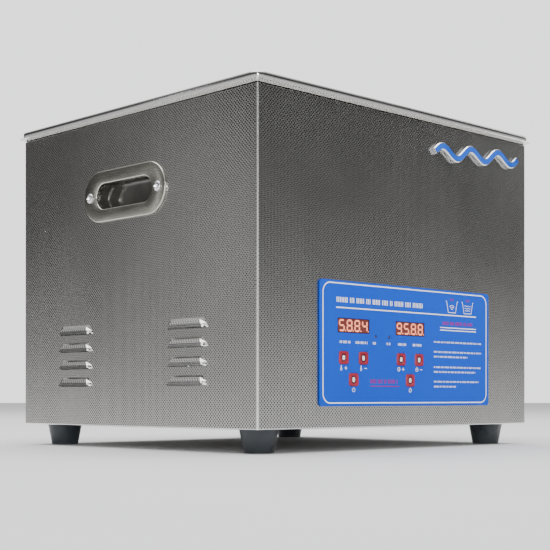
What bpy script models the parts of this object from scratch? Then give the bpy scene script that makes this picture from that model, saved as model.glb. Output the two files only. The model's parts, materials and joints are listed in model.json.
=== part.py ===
"""Bench-top ultrasonic cleaner: casing, heated tank with six transducers, lid, controls, fan and drain.

Metres, +Z up. The front faces -Y. The origin is on the floor, under the middle of the whole object's box.
"""

import math

import bmesh
import bpy
from mathutils import Matrix, Vector

MM = 0.001

# Gaps between touching pieces
GAP = 0.3 * MM
TRAVEL_CLEARANCE = 0.6 * MM

# A hole's tool, from behind a sheet's face to in front of it
THROUGH = (-5 * MM, 5 * MM)

# How far in a round bend is at its middle, of its radius
MID_BEND = 1 - math.sin(math.pi / 4)

# Casing: one sheet wrapped round, folded in at the top and the bottom
CASE_W = 352 * MM
CASE_D = 320 * MM
SHEET = 1.0 * MM
CASE_BEND = 2.0 * MM
FOLD_BEND = 1.2 * MM
REAR_FRAME = 12 * MM
REAR_PANEL_INSET = 4 * MM

# Feet
FOOT_H = 19 * MM
FOOT_TOP_R = 16 * MM
FOOT_BOTTOM_R = 12.3 * MM
FOOT_INSET = 27 * MM
FOOT_FOLD_GAP = 1.0 * MM
FOOT_SCREW_R = 4.5 * MM
FOOT_SCREW_DEPTH = 9 * MM

# Tank
TANK_DEPTH = 150 * MM
BAY_H = 118.5 * MM  # from the casing's bottom to the tank's floor
TANK_WALL = 1.0 * MM
TANK_CORNER_R = 28 * MM
TANK_FLOOR_R = 10 * MM
TANK_MOUTH_R = 4 * MM
RIM_RISE = 2.5 * MM  # from the casing's top to the rim's flat top
RIM_OVERHANG = 4.5 * MM
RIM_CORNER_R = 5 * MM
LIP_H = 0.6 * MM
RIM_UNDERSIDE = 2.4 * MM  # from the lip's edge to where the flat underside starts
GASKET_INSET = 3 * MM  # inside the casing's faces
GASKET_W = 5 * MM
FRONT_SPACE = 13 * MM  # between the tank's wall and the casing, front and back

# Side handles
HANDLE_T = 1.8 * MM
HANDLE_BEVEL = 1.0 * MM
GRIP_L = 77 * MM
GRIP_H = 22 * MM
HANDLE_END = 17.8 * MM  # from the grip's end to the plate's
HANDLE_SIDE = 11.25 * MM
GRIP_LIP = 2.5 * MM
LIP_WALL = 0.8 * MM
GRIP_HOLE_SLACK = 2.4 * MM  # round the cup, in the casing
HANDLE_DROP = 66 * MM  # its middle below the casing's top
HANDLE_BACK = 5 * MM  # its middle behind the casing's middle
CUP_DEPTH = 13.5 * MM
CUP_WALL = 1.5 * MM
CUP_FLANGE_END = 14.5 * MM  # from the grip's end to the flange's
CUP_FLANGE_SIDE = 7 * MM
CUP_FLANGE_T = 2.0 * MM
CUP_TANK_GAP = 1.0 * MM
SCREW_FROM_GRIP = 8.5 * MM
SCREW_HEAD_R = 4.25 * MM
SCREW_HEAD_H = 1.8 * MM
SCREW_R = 1.6 * MM
SCREW_LEN = 10 * MM

# Louvres: two columns of four on each side
LOUVRE_W = 53 * MM
LOUVRE_TOP_W = 42 * MM
LOUVRE_H = 7.8 * MM
LOUVRE_PROUD = 3.6 * MM
LOUVRE_SHOULDER = 4.5 * MM
LOUVRE_WALL = 0.8 * MM
LOUVRE_PITCH = 15.4 * MM
LOUVRE_FIRST = 35 * MM
LOUVRE_END = 56.5 * MM  # from the casing's front or back to the nearer column
LOUVRE_ROWS = 4

# Lid
LID_INSET = 1.5 * MM
LID_H = 5.0 * MM
LID_CORNER_R = 8.5 * MM
LID_EDGE_R = 1.5 * MM
LID_PAN_DROP = 6.0 * MM
LID_PAN_GAP = 2.5 * MM
BOW_SPAN = 110 * MM
BOW_H = 30 * MM
BOW_R = 4.5 * MM
BOW_BEND = 14 * MM

# Control panel
PANEL_W = 224 * MM
PANEL_H = 102 * MM
PANEL_T = 1.2 * MM
PANEL_CORNER_R = 3 * MM
PANEL_RIGHT = 3 * MM  # its middle right of the casing's middle
PANEL_LIFT = 17.9 * MM  # its lower edge above the casing's bottom
COLUMN_X = (-72 * MM, 0.0)  # the two groups, from the panel's middle
KEY_W = 11.6 * MM
KEY_H = 10.4 * MM
KEY_CORNER_R = 2.2 * MM
KEY_PROUD = 0.6 * MM
KEY_TRAVEL = 0.6 * MM
KEY_FLANGE = 1.2 * MM
KEY_ROW_UPPER = 39.5 * MM
KEY_ROW_LOWER = 21.7 * MM
KEY_HALF_PITCH = 12 * MM
PLUNGER_W = 7 * MM
PLUNGER_LEN = 4 * MM
DISPLAY_W = 38 * MM
DISPLAY_H = 11.4 * MM
DISPLAY_ROW = 65.8 * MM
DISPLAY_RIM = 1.6 * MM
LAMP_X = (-44.5 * MM, -27.4 * MM)
LAMP_ROW = 57.9 * MM
LAMP_R = 1.5 * MM
BOARD_DEPTH = 9 * MM  # behind the casing's front face
BOARD_T = 1.6 * MM
BOARD_MARGIN = 8 * MM
BOARD_POST_R = 2.5 * MM
TACT_SWITCH_W = 6 * MM

# Badge: a wave-shaped ribbon
BADGE_L = 122 * MM
BADGE_AMPLITUDE = 5.0 * MM
BADGE_HALF_W = 3.2 * MM
BADGE_T = 3.2 * MM
BADGE_BEVEL = 0.7 * MM
BADGE_WAVES = 3
BADGE_RIGHT = 97 * MM
BADGE_DROP = 21 * MM
BADGE_TILT = math.radians(3.5)

# Rear panel: fan, mains inlet, switch
FAN_SIZE = 80 * MM
FAN_DEPTH = 25 * MM
FAN_DUCT_WALL = 2.5 * MM  # where it is thinnest
FAN_TIP_GAP = 2.0 * MM
FAN_HUB_SHARE = 0.175  # of the fan's size
FAN_ROTOR_DEPTH = 13 * MM
FAN_SPIDER_T = 3 * MM
FAN_ARM_HALF_W = 2 * MM
FAN_BLADES = 7
BLADE_PITCH = math.radians(32)
BLADE_ROOT_W = 9 * MM
BLADE_TIP_W = 19 * MM
BLADE_T = 1.6 * MM
FAN_X = -10 * MM
FAN_UNDER_SHARE = 8 / 25.5  # how much of the free height round the fan is under it
FAN_MOUNT_SHARE = 0.63125
GUARD_WIRE = 1.8 * MM
GUARD_RING_SHARES = (0.175, 0.3, 0.425)
POWER_LEFT = 56 * MM  # the inlet's and the switch's middles inside the casing's left face
INLET_LIFT_SHARE = 42 / 118.5  # of the bay's height, as for the switch
INLET_W = 48 * MM
INLET_H = 28 * MM
INLET_BODY_W = 27 * MM
INLET_BODY_H = 20 * MM
INLET_DEPTH = 18 * MM
SOCKET_W = 24 * MM
SOCKET_H = 16.5 * MM
SOCKET_DEPTH = 13 * MM
PIN_W = 2 * MM
PIN_H = 4 * MM
PIN_SPREAD = 7 * MM
PIN_OFFSET = 2 * MM
SWITCH_LIFT_SHARE = 88 / 118.5
SWITCH_W = 25 * MM
SWITCH_H = 31 * MM
SWITCH_BODY_W = 21 * MM
SWITCH_BODY_H = 27 * MM
SWITCH_DEPTH = 20 * MM
ROCKER_W = 16.4 * MM
ROCKER_H = 21 * MM
ROCKER_WELL = 12 * MM
ROCKER_TILT = math.radians(8)
FLANGE_T = 3 * MM

# Drain
DRAIN_RIGHT = 48 * MM  # its line inside the casing's right face
DRAIN_LIFT = 41 * MM
DRAIN_PIPE_R = 6.5 * MM
DRAIN_BORE_R = 4.6 * MM
DRAIN_ELBOW_R = 12 * MM
DRAIN_FLANGE_R = 13 * MM
DRAIN_FLANGE_T = 2 * MM
DRAIN_NUT_R = 11 * MM
DRAIN_NUT_H = 6 * MM
VALVE_R = 12 * MM
VALVE_LEN = 30 * MM
VALVE_BACK = 42 * MM  # the ball's middle from the casing's back
VALVE_TO_HOLE_SHARE = 0.1125  # from the valve to the tank's hole, of the casing's depth
BALL_R = 8.2 * MM
STEM_R = 3.7 * MM
LEVER_L = 56 * MM
LEVER_W = 11 * MM
LEVER_T = 4 * MM
LEVER_HUB_R = 8 * MM
LEVER_HUB_H = 13 * MM
LEVER_STAND_OFF = 1.5 * MM
OUTLET_PROUD = 30 * MM
OUTLET_COLLAR_R = 10.5 * MM
OUTLET_COLLAR_T = 5 * MM
BARB_R = 7.9 * MM
BARB_COUNT = 3
BARB_PITCH = 7 * MM

# Transducers, heaters, electronics
HORN_R = 29.5 * MM
HORN_H = 22 * MM
STACK_R = 22.5 * MM
STACK_H = 26 * MM  # the ceramic rings and the back mass
BOLT_R = 7 * MM
BOLT_H = 5 * MM
TRANSDUCER_SHARES = (32 / 29.5, 27 / 29.5)  # from the drain hole to the nearest one, of its radius
TRANSDUCER_COLUMNS = 3
TRANSDUCER_ROWS = 2
HEATER_L = 220 * MM
HEATER_H = 60 * MM
HEATER_T = 1.5 * MM
HEATER_LIFT = 25 * MM
SENSOR_R = 7 * MM
SENSOR_H = 5 * MM
BASE_T = 1.2 * MM
BASE_SLOT_L = 44 * MM
BASE_SLOT_W = 5 * MM
BASE_SLOT_X = 80 * MM
BASE_SLOT_PITCH = 12 * MM
GENERATOR_W = 150 * MM
GENERATOR_D = 100 * MM
GENERATOR_LEFT = 101 * MM  # its middle inside the casing's left face
GENERATOR_Y = -25 * MM
STANDOFF_H = 8 * MM
STANDOFF_R = 3 * MM
SINK_W = 56 * MM
SINK_L = 70 * MM
SINK_H_SHARE = 34 / 118.5  # of the bay's height, as for the transformer
SINK_FINS = 7
TRANSFORMER_W = 46 * MM
TRANSFORMER_D = 40 * MM
TRANSFORMER_H_SHARE = 36 / 118.5

# Levels and sizes that follow from these
CASE_H = BAY_H + TANK_DEPTH - RIM_RISE
CASE_TOP = FOOT_H + CASE_H
RIM_TOP = CASE_TOP + RIM_RISE
TANK_FLOOR = RIM_TOP - TANK_DEPTH
TANK_UNDERSIDE = TANK_FLOOR - TANK_WALL
TANK_W = CASE_W - 2 * (CUP_DEPTH + CUP_WALL + CUP_TANK_GAP + TANK_WALL)
TANK_D = CASE_D - 2 * (SHEET + FRONT_SPACE + TANK_WALL)
FOLD = FOOT_INSET - FOOT_TOP_R - FOOT_FOLD_GAP
POWER_X = POWER_LEFT - CASE_W / 2
GENERATOR_X = GENERATOR_LEFT - CASE_W / 2
FAN_FREE_H = BAY_H - TANK_WALL - REAR_FRAME - FAN_SIZE
FAN_LIFT = REAR_FRAME + FAN_FREE_H * FAN_UNDER_SHARE + FAN_SIZE / 2
INLET_LIFT = BAY_H * INLET_LIFT_SHARE
SWITCH_LIFT = BAY_H * SWITCH_LIFT_SHARE
SINK_H = BAY_H * SINK_H_SHARE
TRANSFORMER_H = BAY_H * TRANSFORMER_H_SHARE
HANDLE_L = GRIP_L + 2 * HANDLE_END
HANDLE_H = GRIP_H + 2 * HANDLE_SIDE
CUP_FLANGE_L = GRIP_L + 2 * CUP_FLANGE_END
CUP_FLANGE_H = GRIP_H + 2 * CUP_FLANGE_SIDE
SCREW_SPACING = GRIP_L + 2 * SCREW_FROM_GRIP
LOUVRE_COLUMN = CASE_D / 2 - LOUVRE_END - LOUVRE_W / 2
FAN_DUCT_R = FAN_SIZE / 2 - FAN_DUCT_WALL
FAN_ROTOR_R = FAN_DUCT_R - FAN_TIP_GAP
FAN_HUB_R = FAN_SIZE * FAN_HUB_SHARE
FAN_MOUNT_R = FAN_SIZE * FAN_MOUNT_SHARE
GUARD_RINGS = [FAN_SIZE * share for share in GUARD_RING_SHARES]
BASE_BOTTOM = FOOT_H + SHEET + GAP
BASE_TOP = BASE_BOTTOM + BASE_T
REAR_FACE = CASE_D / 2 + GAP + SHEET
PANEL_FACE = GAP + PANEL_T
KEY_FACE = PANEL_FACE + KEY_PROUD
LID_BOTTOM = RIM_TOP + GAP
LID_TOP = LID_BOTTOM + LID_H
PAN_TOP = LID_TOP - LID_PAN_DROP
DRAIN_X = CASE_W / 2 - DRAIN_RIGHT
DRAIN_Z = FOOT_H + DRAIN_LIFT
VALVE_Y = CASE_D / 2 - VALVE_BACK
TANK_HOLE_Y = VALVE_Y - CASE_D * VALVE_TO_HOLE_SHARE
FACE_SCREW = HANDLE_T + 2 * GAP
LEVER_REACH = LEVER_STAND_OFF + LEVER_HUB_H
OUTLET_END = REAR_FACE + OUTLET_PROUD

# The box's middle, moved to the origin: the lever and the outlet stand out further than the rim
BOX_RIGHT = CASE_W / 2 + LEVER_REACH
BOX_LEFT = CASE_W / 2 + RIM_OVERHANG
BOX_FRONT = CASE_D / 2 + RIM_OVERHANG
TO_ORIGIN = Vector(((BOX_LEFT - BOX_RIGHT) / 2, (BOX_FRONT - OUTLET_END) / 2, 0))

# An outline's +Z turned to face each way, its +Y kept upright
FRONT = (math.pi / 2, 0, 0)
LEFT = (math.pi / 2, 0, -math.pi / 2)
RIGHT = (math.pi / 2, 0, math.pi / 2)
BACK = (math.pi / 2, 0, math.pi)
UPRIGHT = (0, 0, 0)


def clear_scene():
    for obj in list(bpy.data.objects):
        bpy.data.objects.remove(obj, do_unlink=True)


def material(name, colour, metallic, roughness):
    made = bpy.data.materials.new(name)
    made.use_nodes = True
    shader = made.node_tree.nodes["Principled BSDF"]
    shader.inputs["Base Color"].default_value = (*colour, 1)
    shader.inputs["Metallic"].default_value = metallic
    shader.inputs["Roughness"].default_value = roughness
    return made


# Outlines: lists of (x, y), anticlockwise


def circle(radius, steps=16):
    return [
        (radius * math.cos(2 * math.pi * i / steps), radius * math.sin(2 * math.pi * i / steps))
        for i in range(steps)
    ]


def rounded(width, height, radius, steps=4):
    """A rectangle with round corners, or a stadium where the radius is half the height."""
    points = []
    corners = ((1, 1), (-1, 1), (-1, -1), (1, -1))
    for quarter, (side_x, side_y) in enumerate(corners):
        centre_x = side_x * (width / 2 - radius)
        centre_y = side_y * (height / 2 - radius)
        for step in range(steps + 1):
            angle = math.pi / 2 * (quarter + step / steps)
            point = (centre_x + radius * math.cos(angle), centre_y + radius * math.sin(angle))
            if not points or math.dist(point, points[-1]) > 1e-6:
                points.append(point)
    if math.dist(points[0], points[-1]) < 1e-6:
        points.pop()
    return points


def stadium(length, height, steps=5):
    return rounded(length, height, height / 2, steps)


def moved(outline, x, y):
    return [(px + x, py + y) for px, py in outline]


def spoked(arms, half_width, reach, hub_radius, first_angle, arc_steps=3):
    """A round hub with straight arms."""
    points = []
    dip = math.asin(half_width / hub_radius)
    for arm in range(arms):
        angle = first_angle + 2 * math.pi * arm / arms
        along = Vector((math.cos(angle), math.sin(angle)))
        across = Vector((-along.y, along.x)) * half_width
        points += [tuple(along * reach - across), tuple(along * reach + across)]
        span = 2 * math.pi / arms - 2 * dip
        for step in range(arc_steps + 1):
            turn = angle + dip + span * step / arc_steps
            points.append((hub_radius * math.cos(turn), hub_radius * math.sin(turn)))
    return points


def ribbon(half_width, steps_per_wave=8):
    """A wave of constant thickness with round ends."""
    count = BADGE_WAVES * steps_per_wave
    upper = []
    lower = []
    for i in range(count + 1):
        turn = 2 * math.pi * BADGE_WAVES * i / count
        x = BADGE_L * (i / count - 0.5)
        slope = BADGE_AMPLITUDE * 2 * math.pi * BADGE_WAVES / BADGE_L * math.cos(turn)
        normal = Vector((-slope, 1)).normalized() * half_width
        y = BADGE_AMPLITUDE * math.sin(turn)
        upper.append((x + normal.x, y + normal.y))
        lower.append((x - normal.x, y - normal.y))
    return lower + upper[::-1]


# Solids


def loft_into(bm, rings, closed):
    """Walls between successive rings, with a face on each end unless the last ring meets the first."""
    made = [[bm.verts.new(point) for point in ring] for ring in rings]
    pairs = list(zip(made, made[1:]))
    if closed:
        pairs.append((made[-1], made[0]))
    for low, high in pairs:
        for i in range(len(low)):
            j = (i + 1) % len(low)
            bm.faces.new((low[i], low[j], high[j], high[i]))
    if not closed:
        bm.faces.new(made[0][::-1])
        bm.faces.new(made[-1])


def mesh_from(name, islands):
    """One mesh from (rings, closed) pairs, each a separate closed shell."""
    bm = bmesh.new()
    for rings, closed in islands:
        loft_into(bm, rings, closed)
    bmesh.ops.recalc_face_normals(bm, faces=bm.faces)
    mesh = bpy.data.meshes.new(name)
    bm.to_mesh(mesh)
    bm.free()
    return mesh


def level(outline, height):
    return [(x, y, height) for x, y in outline]


def prism(outline, low, high):
    return ([level(outline, low), level(outline, high)], False)


def stack(*levels):
    """A solid through (outline, height) levels."""
    return ([level(outline, height) for outline, height in levels], False)


def loop(*levels):
    """A hollow ring through (outline, height) levels, the last joined to the first."""
    return ([level(outline, height) for outline, height in levels], True)


def box(x, y, z):
    """A block from three (low, high) pairs."""
    outline = [(x[0], y[0]), (x[1], y[0]), (x[1], y[1]), (x[0], y[1])]
    return prism(outline, z[0], z[1])


def placed(obj, at, facing, parent):
    obj.location = at
    obj.rotation_euler = facing
    obj.parent = parent
    bpy.context.scene.collection.objects.link(obj)
    return obj


def piece(name, islands, finish, at=(0, 0, 0), facing=UPRIGHT, parent=None, smooth=35):
    """A sub-part from its shells, with its faces smooth up to an angle in degrees."""
    mesh = mesh_from(name, islands)
    mesh.materials.append(finish)
    mesh.shade_smooth()
    mesh.set_sharp_from_angle(angle=math.radians(smooth))
    return placed(bpy.data.objects.new(name, mesh), at, facing, parent or ASSEMBLY)


def helper(name, islands, at=(0, 0, 0), facing=UPRIGHT, parent=None):
    """A shape that only cuts or joins."""
    obj = placed(bpy.data.objects.new(name, mesh_from(name, islands)), at, facing, parent or ASSEMBLY)
    obj.hide_render = True
    obj.display_type = "WIRE"
    return obj


def combine(obj, operation, other):
    modifier = obj.modifiers.new(f"{operation.lower()} {other.name}", "BOOLEAN")
    modifier.operation = operation
    modifier.solver = "EXACT"
    modifier.object = other


def cut(obj, *cutters):
    for cutter in cutters:
        combine(obj, "DIFFERENCE", cutter)


def join(obj, *others):
    for other in others:
        combine(obj, "UNION", other)


def tube(stations, bore, steps=12):
    """A hollow pipe along (centre, direction, radius) stations, open at both ends."""
    outer = []
    inner = []
    for centre, direction, radius in stations:
        turn = Vector(direction).to_track_quat("Z", "X").to_matrix()
        outer.append([turn @ Vector((x, y, 0)) + Vector(centre) for x, y in circle(radius, steps)])
        inner.append([turn @ Vector((x, y, 0)) + Vector(centre) for x, y in circle(bore, steps)])
    kept = [inner[0]]
    for ring in inner[1:]:
        if (ring[0] - kept[-1][0]).length > 1e-6:
            kept.append(ring)
    return (outer + kept[::-1], True)


# Casing


def inset_ring(inset, height):
    radius = max(CASE_BEND - inset, 0.4 * MM)
    return (rounded(CASE_W - 2 * inset, CASE_D - 2 * inset, radius), height)


def louvre_hood():
    """A pressed-out hood, open below: its rows are flat in the middle and rounded down at their ends."""
    rows = []
    for up, share in ((0, 1), (0.4, 0.85), (0.8, 0.45), (1, 0.02)):
        half = (LOUVRE_W + (LOUVRE_TOP_W - LOUVRE_W) * up) / 2
        across = ((half, 0), (half - LOUVRE_SHOULDER, LOUVRE_PROUD * share))
        side = [(x, LOUVRE_H * up, proud) for x, proud in across]
        mirrored = [(-x, y, z) for x, y, z in side[::-1]]
        back = [(-half, LOUVRE_H * up, -SHEET / 2), (half, LOUVRE_H * up, -SHEET / 2)]
        rows.append(side + mirrored + back)
    return (rows, False)


def louvre_slot():
    """The hollow under a hood, running through the sheet and out below the hood."""
    wall = LOUVRE_WALL
    low = -wall / 2
    high = LOUVRE_H - 1.3 * wall
    half_low = LOUVRE_W / 2 - 1.5 * wall
    half_high = LOUVRE_TOP_W / 2 - 0.5 * wall
    shoulder = LOUVRE_SHOULDER + 0.6 * wall
    proud_low = LOUVRE_PROUD - wall
    proud_high = 0.35 * proud_low
    rows = []
    for y, half, proud in ((low, half_low, proud_low), (high, half_high, proud_high)):
        inner = half - shoulder
        rows.append([
            (half, y, -3 * SHEET), (half, y, 0), (inner, y, proud),
            (-inner, y, proud), (-half, y, 0), (-half, y, -3 * SHEET),
        ])
    return (rows, False)


def louvres(name, shape, side_x, facing):
    """Every hood, or every slot, of one side."""
    rings, closed = shape
    islands = []
    for column in (-LOUVRE_COLUMN, LOUVRE_COLUMN):
        for row in range(LOUVRE_ROWS):
            lift = FOOT_H + LOUVRE_FIRST + row * LOUVRE_PITCH
            copy = [[(x + column, y + lift, z) for x, y, z in ring] for ring in rings]
            islands.append((copy, closed))
    return helper(name, islands, at=(side_x * CASE_W / 2, 0, 0), facing=facing)


def handle_place(side_x):
    return (side_x * CASE_W / 2, HANDLE_BACK, CASE_TOP - HANDLE_DROP)


def handle_screw_holes(radius):
    return [
        prism(moved(circle(radius, 8), x, 0), -SCREW_LEN, SCREW_LEN)
        for x in (-SCREW_SPACING / 2, SCREW_SPACING / 2)
    ]


def panel_point(x, up):
    """A point on the casing's front, from the control panel's middle and lower edge."""
    return (PANEL_RIGHT + x, -CASE_D / 2, FOOT_H + PANEL_LIFT + up)


def controls_window():
    low_x = COLUMN_X[0] - 2 * KEY_HALF_PITCH
    high_x = COLUMN_X[1] + 2 * KEY_HALF_PITCH
    low_z = KEY_ROW_LOWER - KEY_H
    high_z = DISPLAY_ROW + DISPLAY_H
    return low_x, high_x, low_z, high_z


def build_casing():
    rings = [
        inset_ring(FOLD, 0),
        inset_ring(FOLD_BEND, 0),
        inset_ring(FOLD_BEND * MID_BEND, FOLD_BEND * MID_BEND),
        inset_ring(0, FOLD_BEND),
        inset_ring(0, CASE_H - FOLD_BEND),
        inset_ring(FOLD_BEND, CASE_H),
        inset_ring(FOLD, CASE_H),
        inset_ring(FOLD, CASE_H - SHEET),
        inset_ring(SHEET, CASE_H - SHEET),
        inset_ring(SHEET, SHEET),
        inset_ring(FOLD, SHEET),
    ]
    casing = piece("casing_wrap", [loop(*rings)], EMBOSSED, at=(0, 0, FOOT_H))
    for side, side_x, facing in (("left", -1, LEFT), ("right", 1, RIGHT)):
        join(casing, louvres(f"{side}_hoods", louvre_hood(), side_x, facing))
        cut(casing, louvres(f"{side}_slots", louvre_slot(), side_x, facing))
        around = 2 * (CUP_WALL + GRIP_HOLE_SLACK)
        grip = prism(stadium(GRIP_L + around, GRIP_H + around), *THROUGH)
        screws = handle_screw_holes(SCREW_R + TRAVEL_CLEARANCE)
        cut(casing, helper(f"{side}_grip_hole", [grip], handle_place(side_x), facing))
        cut(casing, helper(f"{side}_screw_holes", screws, handle_place(side_x), facing))
    low_x, high_x, low_z, high_z = controls_window()
    window = box((low_x, high_x), (low_z, high_z), THROUGH)
    cut(casing, helper("controls_window", [window], panel_point(0, 0), FRONT))
    rear = box(
        (REAR_FRAME - CASE_W / 2, CASE_W / 2 - REAR_FRAME),
        (CASE_D / 2 + THROUGH[0], CASE_D / 2 + THROUGH[1]),
        (FOOT_H + REAR_FRAME, CASE_TOP - REAR_FRAME),
    )
    cut(casing, helper("rear_window", [rear]))
    stem_hole = prism(circle(STEM_R + 2 * TRAVEL_CLEARANCE, 16), *THROUGH)
    cut(casing, helper("stem_hole", [stem_hole], (CASE_W / 2, VALVE_Y, DRAIN_Z), RIGHT))


def build_rear_panel():
    width = CASE_W - 2 * REAR_PANEL_INSET
    height = CASE_H - 2 * REAR_PANEL_INSET
    plate = prism(rounded(width, height, CASE_BEND, 2), 0, SHEET)
    middle = FOOT_H + CASE_H / 2
    panel = piece("rear_panel", [plate], PLAIN_STEEL, (0, CASE_D / 2 + GAP, middle), BACK)
    clearance = 2 * GAP
    fan = prism(circle(FAN_DUCT_R, 28), *THROUGH)
    inlet = prism(rounded(INLET_BODY_W + clearance, INLET_BODY_H + clearance, 2 * MM, 2), *THROUGH)
    switch = prism(rounded(SWITCH_BODY_W + clearance, SWITCH_BODY_H + clearance, 1 * MM, 2), *THROUGH)
    outlet = prism(circle(DRAIN_PIPE_R + clearance, 16), *THROUGH)
    cut(panel, helper("fan_hole", [fan], rear_point(FAN_X, FAN_LIFT), BACK))
    cut(panel, helper("inlet_hole", [inlet], rear_point(POWER_X, INLET_LIFT), BACK))
    cut(panel, helper("switch_hole", [switch], rear_point(POWER_X, SWITCH_LIFT), BACK))
    cut(panel, helper("outlet_hole", [outlet], rear_point(DRAIN_X, DRAIN_LIFT), BACK))


def rear_point(x, lift, out=0.0):
    """A point on the rear panel's outer face."""
    return (x, REAR_FACE + out, FOOT_H + lift)


def build_base():
    side = SHEET + 2 * GAP
    plate = prism(rounded(CASE_W - 2 * side, CASE_D - 2 * side, CASE_BEND, 2), 0, BASE_T)
    base = piece("base_plate", [plate], PLAIN_STEEL, (0, 0, BASE_BOTTOM))
    slots = [
        prism(moved(stadium(BASE_SLOT_L, BASE_SLOT_W, 2), BASE_SLOT_X, row * BASE_SLOT_PITCH), *THROUGH)
        for row in (-1, 0, 1)
    ]
    cut(base, helper("base_slots", slots, (0, 0, BASE_BOTTOM)))


def build_feet():
    places = (("front_left", -1, -1), ("front_right", 1, -1), ("rear_left", -1, 1), ("rear_right", 1, 1))
    for name, side_x, side_y in places:
        levels = [
            (circle(FOOT_SCREW_R), FOOT_SCREW_DEPTH),
            (circle(FOOT_SCREW_R), 0),
            (circle(FOOT_BOTTOM_R - 1.2 * MM), 0),
            (circle(FOOT_BOTTOM_R), 1.0 * MM),
            (circle(FOOT_TOP_R), FOOT_H),
            (circle(FOOT_TOP_R), FOOT_H + SHEET),
        ]
        at = (side_x * (CASE_W / 2 - FOOT_INSET), side_y * (CASE_D / 2 - FOOT_INSET), 0)
        piece(f"foot_{name}", [stack(*levels)], RUBBER, at)


# Tank and lid


def tank_ring(grow, height):
    """The tank's inner plan, grown outwards."""
    return (rounded(TANK_W + 2 * grow, TANK_D + 2 * grow, TANK_CORNER_R + grow), height)


def rim_ring(grow, radius, height):
    """The casing's plan, grown outwards."""
    return (rounded(CASE_W + 2 * grow, CASE_D + 2 * grow, radius), height)


def build_tank():
    floor_r = TANK_FLOOR_R
    outer_r = TANK_FLOOR_R + TANK_WALL
    mouth_r = TANK_MOUTH_R
    flange = TANK_WALL + mouth_r
    levels = [
        tank_ring(-floor_r, TANK_FLOOR),
        tank_ring(-floor_r * MID_BEND, TANK_FLOOR + floor_r * MID_BEND),
        tank_ring(0, TANK_FLOOR + floor_r),
        tank_ring(0, RIM_TOP - mouth_r),
        tank_ring(mouth_r * MID_BEND, RIM_TOP - mouth_r * MID_BEND),
        tank_ring(mouth_r, RIM_TOP),
        rim_ring(RIM_OVERHANG - LIP_H, RIM_CORNER_R - LIP_H, RIM_TOP),
        rim_ring(RIM_OVERHANG, RIM_CORNER_R, RIM_TOP - LIP_H),
        rim_ring(GAP, CASE_BEND, CASE_TOP + GAP),
        rim_ring(GAP - TANK_WALL, CASE_BEND - TANK_WALL / 2, CASE_TOP + GAP),
        rim_ring(RIM_OVERHANG - LIP_H - RIM_UNDERSIDE, CASE_BEND, RIM_TOP - TANK_WALL),
        tank_ring(flange, RIM_TOP - TANK_WALL),
        tank_ring(TANK_WALL, RIM_TOP - flange),
        tank_ring(TANK_WALL, TANK_FLOOR + floor_r),
        tank_ring(TANK_WALL - outer_r * MID_BEND, TANK_UNDERSIDE + outer_r * MID_BEND),
        tank_ring(TANK_WALL - outer_r, TANK_UNDERSIDE),
    ]
    tank = piece("tank", [stack(*levels)], POLISHED_STEEL, smooth=50)
    hole = prism(circle(DRAIN_PIPE_R + 2 * GAP, 16), *THROUGH)
    cut(tank, helper("drain_hole", [hole], (DRAIN_X, TANK_HOLE_Y, TANK_FLOOR)))


def build_gasket():
    low = CASE_TOP + GAP
    high = RIM_TOP - TANK_WALL - GAP
    outer = -GASKET_INSET
    inner = -GASKET_INSET - GASKET_W
    levels = [
        rim_ring(inner, CASE_BEND, low),
        rim_ring(outer, CASE_BEND, low),
        rim_ring(outer, CASE_BEND, high),
        rim_ring(inner, CASE_BEND, high),
    ]
    piece("tank_gasket", [loop(*levels)], SILICONE)


def build_lid():
    outer = RIM_OVERHANG - LID_INSET
    pan = -LID_PAN_GAP
    pan_r = LID_PAN_DROP / 2
    edge = LID_EDGE_R
    levels = [
        tank_ring(pan - SHEET - pan_r, PAN_TOP),
        tank_ring(pan - SHEET, PAN_TOP + pan_r),
        tank_ring(pan - SHEET + pan_r, LID_TOP),
        rim_ring(outer - edge, LID_CORNER_R - edge, LID_TOP),
        rim_ring(outer - edge * MID_BEND, LID_CORNER_R - edge * MID_BEND, LID_TOP - edge * MID_BEND),
        rim_ring(outer, LID_CORNER_R, LID_TOP - edge),
        rim_ring(outer, LID_CORNER_R, LID_BOTTOM),
        rim_ring(outer - SHEET, LID_CORNER_R - SHEET, LID_BOTTOM),
        rim_ring(outer - SHEET, LID_CORNER_R - SHEET, LID_TOP - SHEET),
        tank_ring(pan + pan_r, LID_TOP - SHEET),
        tank_ring(pan, PAN_TOP + pan_r),
        tank_ring(pan - pan_r, PAN_TOP - SHEET),
    ]
    piece("lid", [stack(*levels)], BRUSHED_STEEL, smooth=50)


def build_lid_handle():
    """A bent rod: up, across and down, with round bends."""
    rise = BOW_H - BOW_R
    points = [Vector((-BOW_SPAN / 2, 0, GAP))]
    for side, start in ((-1, math.pi), (1, math.pi / 2)):
        centre = Vector((side * (BOW_SPAN / 2 - BOW_BEND), 0, rise - BOW_BEND))
        for step in range(5):
            angle = start - math.pi / 2 * step / 4
            points.append(centre + BOW_BEND * Vector((math.cos(angle), 0, math.sin(angle))))
    points.append(Vector((BOW_SPAN / 2, 0, GAP)))
    curve = bpy.data.curves.new("lid_handle", "CURVE")
    curve.dimensions = "3D"
    curve.bevel_depth = BOW_R
    curve.bevel_resolution = 2
    curve.use_fill_caps = True
    spline = curve.splines.new("POLY")
    spline.points.add(len(points) - 1)
    for point, place in zip(spline.points, points):
        point.co = (*place, 1)
    curve.materials.append(POLISHED_STEEL)
    placed(bpy.data.objects.new("lid_handle", curve), (0, 0, PAN_TOP), UPRIGHT, ASSEMBLY)


# Side handles


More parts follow.
